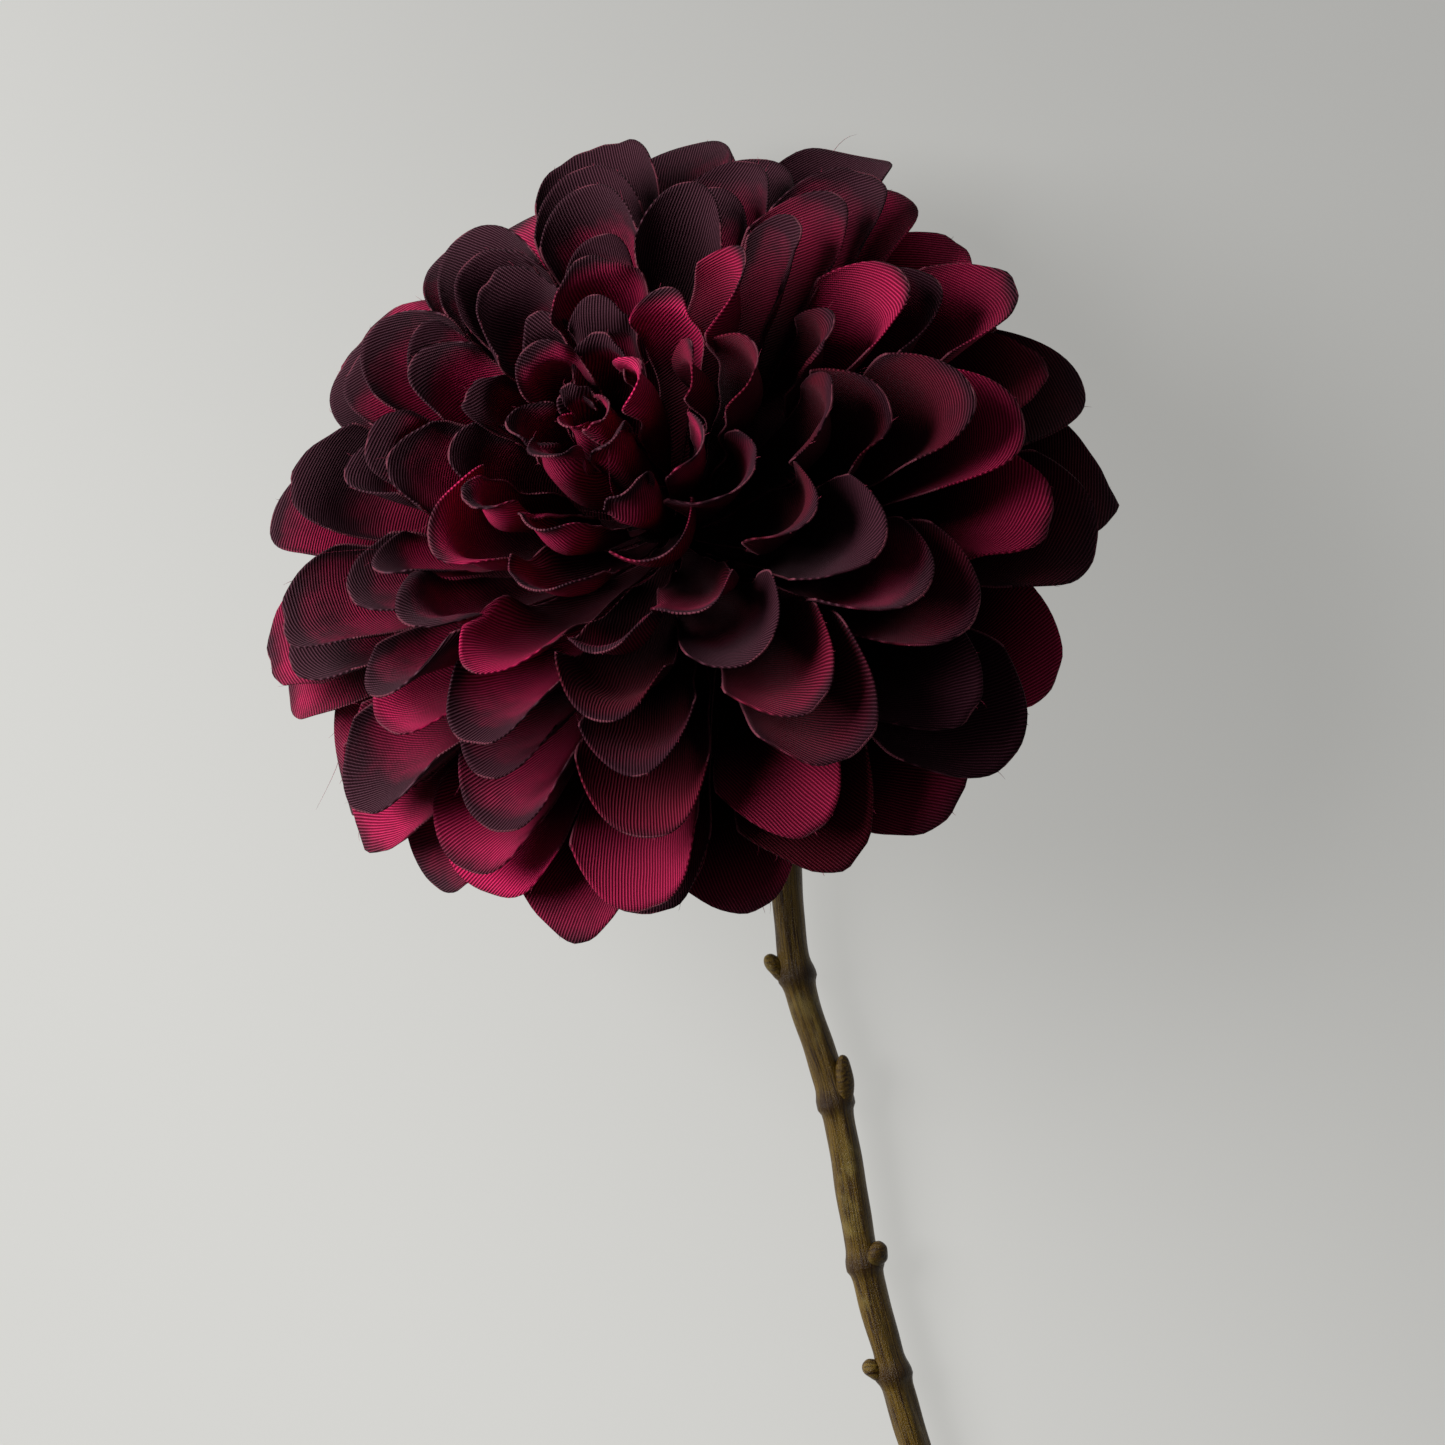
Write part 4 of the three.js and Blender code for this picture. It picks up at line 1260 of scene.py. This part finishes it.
    def piece(self, layer: int, across: Array, along: Array) -> bpy.types.Object:
        """Builds a layer with its hub and thread ends, and hides the solid that it stands for.

        Args:
            layer: The layer.
            across: The places across a petal, a row of numbers.
            along: The places along it, a row of numbers.

        Returns:
            The piece.
        """
        traits = self.traits(layer)
        surface = self.surface(layer, traits, across, along)
        darkened = self.chosen(layer, self.darkened)
        values = {"pattern": surface.flat, "edge": surface.edge}
        values |= self.dye.values(layer, traits, surface, darkened)
        values = {name: both_faces(value) for name, value in values.items()}
        parts = MeshParts()
        parts.add(*self.shell(surface.points), **values)
        ring, faces = self.hub(layer)
        # The hub is painted fully in throat shade.
        parts.add(ring, faces, pattern=ring, dye=0.0, edge=self.hub_edge, shade=0.0, core=1.0)
        ends, faces = self.threads.shells(layer, surface.points)
        parts.add(ends, faces, pattern=ends, dye=0.0, edge=0.0, shade=0.0, core=0.0)
        piece = parts.build(f"petals_{layer + 1:02d}", self.cloth, Slot.PETALS)
        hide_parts(f"petal_disc_{layer + 1:02d}")
        return piece

    def build(self) -> list[bpy.types.Object]:
        """Builds every layer on a grid whose rows crowd towards the tip.

        Returns:
            The pieces, heart first.
        """
        across = np.linspace(-1, 1, self.columns)
        along = 1 - (1 - np.linspace(0, 1, self.rows)) ** self.row_crowding
        return [self.piece(layer, across, along) for layer in range(self.layers)]


def catmull_rom(route: Array, samples: int) -> Array:
    """A centripetal curve through the points of a route.

    Between two points, p1 and p2, it is the cubic that has their places and the slopes of a spline
    whose knots are spaced by the square roots of the distances, d0 to d2, between the points p0 to p3.
    Past both ends a mirrored point is used.

    Args:
        route: Points by 3.
        samples: How many points are worked out in all.

    Returns:
        Samples by 3.
    """
    ends = np.concatenate([[2 * route[0] - route[1]], route, [2 * route[-1] - route[-2]]])
    place = np.linspace(0, len(route) - 1, samples)
    start = np.minimum(place.astype(int), len(route) - 2)
    share = (place - start)[:, None]
    p0, p1, p2, p3 = (ends[start + offset] for offset in range(4))
    d0, d1, d2 = (np.sqrt(np.linalg.norm(way, axis=1))[:, None] for way in (p1 - p0, p2 - p1, p3 - p2))
    slope1 = ((p1 - p0) / d0 - (p2 - p0) / (d0 + d1) + (p2 - p1) / d1) * d1
    slope2 = ((p2 - p1) / d1 - (p3 - p1) / (d1 + d2) + (p3 - p2) / d2) * d1
    square = -3 * p1 + 3 * p2 - 2 * slope1 - slope2
    cube = 2 * p1 - 2 * p2 + slope1 + slope2
    return p1 + slope1 * share + square * share**2 + cube * share**3


@dataclass(frozen=True)
class Knob:
    """A bud or stub at a node of the stem, in millimetres, with its side and lean in degrees."""

    node: int
    side: float
    length: float
    radius: float
    lean: float
    scar: float


@dataclass
class Stem:
    """The moulded rod along its route, with nodes, buds and stubs, and the wire in it.

    The neck is heights on the bloom's axis. The other places are from the point of the surface under the
    bloom's centre.
    """

    frame: HeadFrame
    plastic: bpy.types.Material
    steel: bpy.types.Material
    radius: float = 2.8
    sides: int = 40
    step: float = 0.9
    samples: int = 6000
    neck: Triple = (-34.3, -36.5, -39.5)
    bend: tuple[Triple, ...] = ((-0.3, -26.6, 9), (-1.7, -37, 7.4), (-6, -62, 7))
    nodes: tuple[Triple, ...] = (
        (-7.7, -78.5, 6.8),
        (-5.5, -101.5, 6.5),
        (-6.3, -130.5, 6.1),
        (-5.2, -150.5, 5.9),
        (-3, -182.5, 5.5),
        (-6.6, -214.5, 5),
        (-4.8, -251, 4.5),
        (-7.6, -288.5, 3.9),
        (-5.8, -326, 3.3),
    )
    cut_end: Triple = (-7, -357, 3.15)
    node_swell: float = 0.6
    node_half: float = 1.65
    lip: float = 0.22
    lip_half: float = 0.42
    lip_offset: float = 1.1
    groove: float = 0.26
    grooves: int = 3
    twist_rate: float = 0.012
    sway: float = 0.5
    sway_length: float = 23.0
    bumps: tuple[tuple[float, float, int, float], ...] = ((0.06, 3.1, 2, 0.0), (0.05, 1.7, 3, 1.0))
    scar_reach: Pair = (0.3, 3.0)
    pattern_radius: float = 4.0
    bore_radius: float = 1.15
    bore_depth: float = 14.0
    bevel: Pair = (0.96, 0.12)
    wire_radius: float = 0.8
    wire_sides: int = 16
    wire_start: float = 41.0
    wire_juts: float = 1.1
    wire_caps: Triple = (1.0, 0.85, 0.05)
    wire_rounds: Triple = (1.0, 1.09, 1.0)
    knobs: tuple[Knob, ...] = (
        Knob(0, 155, 6.0, 1.6, 30, 0.0),
        Knob(1, 20, 10.0, 1.6, 12, 0.2),
        Knob(2, 25, 5.2, 1.8, 40, 0.6),
        Knob(3, 150, 4.6, 1.7, 42, 0.0),
        Knob(5, 40, 7.5, 1.4, 18, 0.2),
        Knob(6, 140, 4.4, 1.5, 60, 0.8),
        Knob(7, 25, 8.5, 1.4, 15, 0.2),
    )
    knob_rows: int = 18
    knob_sides: int = 20
    knob_pole: float = 0.02
    knob_blunt: float = 0.85
    knob_inset: float = 0.8
    knob_out: float = 0.32

    def __post_init__(self) -> None:
        """Works out the route, evenly sampled, and how far along it each node lies."""
        neck = [self.frame.place(0, 0, height) for height in self.neck]
        shift = np.array([self.frame.centre[0], self.frame.centre[1], 0])
        rest = np.array([*self.bend, *self.nodes, self.cut_end]) + shift
        fine = catmull_rom(np.concatenate([neck, rest]), self.samples)
        travelled = np.concatenate([[0], np.cumsum(np.linalg.norm(np.diff(fine, axis=0), axis=1))])
        self.length = float(travelled[-1])
        self.stops = np.linspace(0, self.length, int(self.length / self.step) + 1)
        self.centres = np.stack([np.interp(self.stops, travelled, fine[:, axis]) for axis in range(3)], -1)
        away = np.linalg.norm(fine[None] - (np.array(self.nodes) + shift)[:, None], axis=-1)
        self.stations = travelled[np.argmin(away, axis=1)]
        self.heading = unit(np.gradient(self.centres, axis=0))
        self.over = unit(np.cross(self.heading, [1.0, 0, 0]))
        self.beside = np.cross(self.over, self.heading)

    def ring_points(self, radius: Array, turn: Array) -> Array:
        """Points round the route, stops by sides by 3, from radii of stops by sides and a row of turns."""
        return self.centres[:, None] + circle(radius, turn, self.beside[:, None], self.over[:, None])

    def skin_radius(self, turn: Array) -> Array:
        """The rod's radius: its size, a swelling with a lip at each node, shallow grooves and small bumps.

        Swellings and lips are bell curves of the distance to a node. The grooves twist slowly round the
        rod, each the eighth power of a cosine, and fade at the nodes. The bumps are sines along and round
        it.

        Args:
            turn: Turns, 1 by sides.

        Returns:
            Radii, stops by sides.
        """
        stop = self.stops[:, None]
        past = [stop - node for node in self.stations]
        swell = np.max([np.exp(-((away / self.node_half) ** 2)) for away in past], axis=0)
        lips = np.max([np.exp(-(((away - self.lip_offset) / self.lip_half) ** 2)) for away in past], axis=0)
        twist = self.twist_rate * stop + self.sway * np.sin(stop / self.sway_length)
        groove = np.cos(self.grooves / 2 * (turn + twist)) ** 8 * (1 - swell)
        bumps = sum(
            height * np.sin(stop / length + waves * turn + phase)
            for height, length, waves, phase in self.bumps
        )
        return self.radius + self.node_swell * swell + self.lip * lips - self.groove * groove + bumps

    def build(self) -> list[bpy.types.Object]:
        """Builds the rod with its buds, and the wire, and hides the solids that they stand for."""
        turn = turns(self.sides)[None]
        skin = self.ring_points(self.skin_radius(turn), turn)
        end = self.centres[-1]
        out = skin[-1] - end
        bore = end + out * self.bore_radius / self.radius
        bevel = end + out * self.bevel[0] + self.heading[-1] * self.bevel[1]
        deep = bore - self.heading[-1] * self.bore_depth
        shut_in = deep - (deep - deep.mean(0)) * CLOSING
        top = self.centres[0] + (skin[0] - self.centres[0]) * (1 - CLOSING)
        rings = np.concatenate([top[None], skin, np.stack([bevel, bore, deep, shut_in])])
        stop = np.concatenate([[0], self.stops, [self.length] * 4])[:, None] + 0 * turn
        around = self.pattern_radius * np.stack([np.cos(turn), np.sin(turn)], -1)
        along = np.concatenate([stop[..., None], around + 0 * stop[..., None]], -1).reshape(-1, 3)
        node = np.min([np.abs(stop - place) for place in self.stations], axis=0)
        scar = 1 - smoothstep(node, *self.scar_reach)
        faces = grid_faces(len(rings), self.sides, closed=True)
        parts = MeshParts()
        parts.add(rings.reshape(-1, 3), faces, along=along, scar=scar.ravel())
        for knob in self.knobs:
            points, faces = self.knob_shell(knob)
            parts.add(points, faces, along=points, scar=knob.scar)
        stem = parts.build("stem_moulding", self.plastic, Slot.STEM)
        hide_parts("stem")
        return [stem, self.wire()]

    def knob_shell(self, knob: Knob) -> Shell:
        """An egg shape with faint ridges that leans from its node towards the bloom.

        Args:
            knob: Its sizes.

        Returns:
            The points and the faces.
        """
        place = int(round(self.stations[knob.node] / self.length * (len(self.stops) - 1)))
        side, lean = math.radians(knob.side), math.radians(knob.lean)
        out = np.array([math.cos(side), 0, math.sin(side)])
        along = unit(-self.heading[place] * math.cos(lean) + out * math.sin(lean))
        across = unit(np.cross(along, [0.3, 0.2, 1.0]))
        polar = np.linspace(self.knob_pole, math.pi - self.knob_pole, self.knob_rows)[:, None]
        turn = turns(self.knob_sides)[None]
        ridge = 1 + 0.08 * np.cos(3 * turn) + 0.05 * np.sin(5 * polar + turn)
        wide = knob.radius * np.sin(polar) ** self.knob_blunt * ridge
        centre = self.centres[place] + out * self.radius * self.knob_inset
        centre = centre + along * knob.length * self.knob_out
        points = centre + (-knob.length / 2 * np.cos(polar) + 0 * turn)[..., None] * along
        points = points + circle(wide, turn, across, np.cross(along, across))
        return points.reshape(-1, 3), grid_faces(self.knob_rows, self.knob_sides, closed=True)

    def wire(self) -> bpy.types.Object:
        """The round wire, which shows only at the cut end."""
        radius = np.full((len(self.stops), self.wire_sides), self.wire_radius)
        ring = self.ring_points(radius, turns(self.wire_sides)[None])
        inside = ring[self.stops > self.wire_start]
        end = self.centres[-1]
        juts = ring[-1] + self.heading[-1] * self.wire_juts - end
        caps = [
            end + juts * np.array([size, round_off, size])
            for size, round_off in zip(self.wire_caps, self.wire_rounds)
        ]
        first = inside[0] + (inside[0].mean(0) - inside[0]) * CLOSING
        rings = np.concatenate([first[None], inside, np.stack(caps)])
        parts = MeshParts()
        parts.add(rings.reshape(-1, 3), grid_faces(len(rings), self.wire_sides, closed=True))
        piece = parts.build("stem_wire_end", self.steel, Slot.WIRE)
        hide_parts("stem_wire")
        return piece


@dataclass
class Calyx:
    """The moulded receptacle behind the bloom, its peg and its sepals."""

    frame: HeadFrame
    plastic: bpy.types.Material
    top: float = -25.4
    bottom: float = -34.0
    socket_depth: float = 6.0
    socket_radius: float = 1.95
    pole: float = 0.05
    peg_radius: float = 1.6
    peg_top: float = 20.0
    sides: int = 56
    ripple: float = 0.035
    ripples: int = 14
    ripple_radii: Pair = (3.3, 7.0)
    scar: float = 0.1
    sepals: int = 7
    sepal_grid: tuple[int, int] = (14, 9)
    sepal_radii: Pair = (5.0, 17.0)
    sepal_half: float = 3.4
    sepal_half_thickness: float = 0.4
    sepal_rib: float = 0.35
    sepal_scar: float = 0.25

    def build(self) -> bpy.types.Object:
        """Builds the calyx and hides the solid that it stands for.

        Returns:
            The piece.
        """
        outline = [
            (self.pole, self.bottom + self.socket_depth),
            (self.socket_radius, self.bottom + self.socket_depth),
            (self.socket_radius, self.bottom),
            (3.2, self.bottom),
            (3.55, self.bottom + 0.5),
            (3.5, self.bottom + 1.4),
            (4.4, self.top - 6.2),
            (5.9, self.top - 4.9),
            (7.4, self.top - 3.4),
            (8.2, self.top - 2),
            (8.4, self.top - 1),
            (8.1, self.top - 0.3),
            (7.2, self.top),
            (self.peg_radius, self.top),
            (self.peg_radius, self.peg_top - 1),
            (self.peg_radius * 0.6, self.peg_top),
            (self.pole, self.peg_top),
        ]
        profile = np.array(outline)
        skin = smoothstep(profile[:, :1], *self.ripple_radii) * (profile[:, 1:] < self.top - 0.1)
        ripple = self.ripple * skin * np.cos(self.ripples * turns(self.sides))[None]
        points, faces = revolved(self.frame, profile, self.sides, ripple)
        parts = MeshParts()
        parts.add(points, faces, along=points, scar=self.scar)
        for index in range(self.sepals):
            leaf, faces = self.sepal(index)
            parts.add(leaf, faces, along=leaf, scar=self.sepal_scar)
        piece = parts.build("calyx_moulding", self.plastic, Slot.STEM)
        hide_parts("calyx")
        return piece

    def sepal(self, index: int) -> Shell:
        """A short leaf that bends back from the flange, with a rib along it, as a closed shell.

        Args:
            index: Which one.

        Returns:
            The points and the faces.
        """
        rows, columns = self.sepal_grid
        turn = (index + 0.5) * 2 * math.pi / self.sepals
        across = np.linspace(-1, 1, columns)[None]
        along = np.linspace(0, 1, rows)[:, None]
        half = self.sepal_half * np.sqrt(np.maximum(0.02, 1 - along)) * (0.75 + 0.6 * along)
        radius = lerp(*self.sepal_radii, along) + 0 * across
        height = self.top - 1.6 - 2.6 * along**2 + 0.5 * across**2
        rib = self.sepal_rib * np.exp(-((across / 0.2) ** 2)) * (1 - along)
        middle = self.frame.place(radius, turn + half * across / radius, height)
        lift = self.frame.axis * self.sepal_half_thickness
        lower = middle - lift - rib[..., None] * self.frame.axis
        points = np.concatenate([(middle + lift).reshape(-1, 3), lower.reshape(-1, 3)])
        return points, sheet_faces(rows, columns)


@dataclass
class Studio:
    """The pale surface, the soft window light and the camera at the photo's viewing angle."""

    frame: HeadFrame
    right: Triple = (0.926, -0.2, -0.321)
    back: Triple = (0.327, 0.0, 0.945)
    up: Triple = (0.189, 0.98, -0.066)
    distance: float = 560.0
    lens: float = 85.0
    sensor: float = 36.0
    head_pixel: tuple[float, float] = (672.0, 530.0)
    window_way: Triple = (-0.62, 0.40, 0.68)
    window_away: float = 1300.0
    window_size: float = 900.0
    window_watts: float = 34.0
    air: Tone = Tone(0.93, 0.96, 1.0)
    air_strength: float = 0.10
    floor_half: float = 6.0

    def build(self) -> None:
        """Makes the surface, the camera, the light and the world."""
        self.floor()
        self.camera()
        self.window()
        world = bpy.data.worlds.new("soft_room")
        world.use_nodes = True
        background = world.node_tree.nodes["Background"]
        background.inputs["Color"].default_value = self.air.rgba
        background.inputs["Strength"].default_value = self.air_strength
        bpy.context.scene.world = world
        bpy.context.scene.view_settings.view_transform = "Standard"

    def camera(self) -> None:
        """Puts the camera so that the bloom's centre falls on its pixel of the photo's frame."""
        right, up, back = (unit(np.array(way)) for way in (self.right, self.up, self.back))
        millimetres = self.distance * self.sensor / self.lens / PHOTO_SIZE
        aside = (PHOTO_SIZE / 2 - self.head_pixel[0]) * millimetres
        down = (PHOTO_SIZE / 2 - self.head_pixel[1]) * millimetres
        place = np.array(self.frame.centre) + right * aside - up * down + back * self.distance
        data = bpy.data.cameras.new("camera")
        data.lens = self.lens
        data.sensor_width = self.sensor
        camera = bpy.data.objects.new("camera", data)
        turn = Matrix((right, np.cross(back, right), back)).transposed()
        camera.matrix_world = Matrix.Translation(Vector(place * MM)) @ turn.to_4x4()
        bpy.context.scene.collection.objects.link(camera)
        bpy.context.scene.camera = camera

    def window(self) -> None:
        """Hangs the window's soft square light, facing the bloom."""
        data = bpy.data.lights.new("key_window", "AREA")
        data.size = self.window_size * MM
        data.energy = self.window_watts
        direction = Vector(self.window_way).normalized()
        lamp = bpy.data.objects.new("key_window", data)
        lamp.location = (Vector(self.frame.centre) + direction * self.window_away) * MM
        lamp.rotation_mode = "QUATERNION"
        lamp.rotation_quaternion = direction.to_track_quat("Z", "Y")
        bpy.context.scene.collection.objects.link(lamp)

    def floor(self) -> None:
        """Lays a flat square, in metres, under the whole part."""
        half = self.floor_half
        mesh = bpy.data.meshes.new("floor")
        corners = [(-half, -half, 0), (half, -half, 0), (half, half, 0), (-half, half, 0)]
        mesh.from_pydata(corners, [], [(0, 1, 2, 3)])
        mesh.materials.append(PaleFloor().material())
        floor = bpy.data.objects.new("floor", mesh)
        bpy.context.scene.collection.objects.link(floor)


def main() -> None:
    """Loads the frame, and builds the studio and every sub-assembly."""
    logging.basicConfig(level=logging.INFO, format="%(name)s: %(message)s")
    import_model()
    frame = HeadFrame()
    Studio(frame).build()
    cloth = RibbedCloth().material()
    plastic = MouldedStem().material()
    steel = CutWire().material()
    pieces = Bloom(frame, cloth).build()
    pieces += Stem(frame, plastic, steel).build()
    pieces.append(Calyx(frame, plastic).build())
    for piece in pieces:
        LOG.info("%s: %d faces", piece.name, len(piece.data.polygons))


if __name__ == "__main__":
    main()
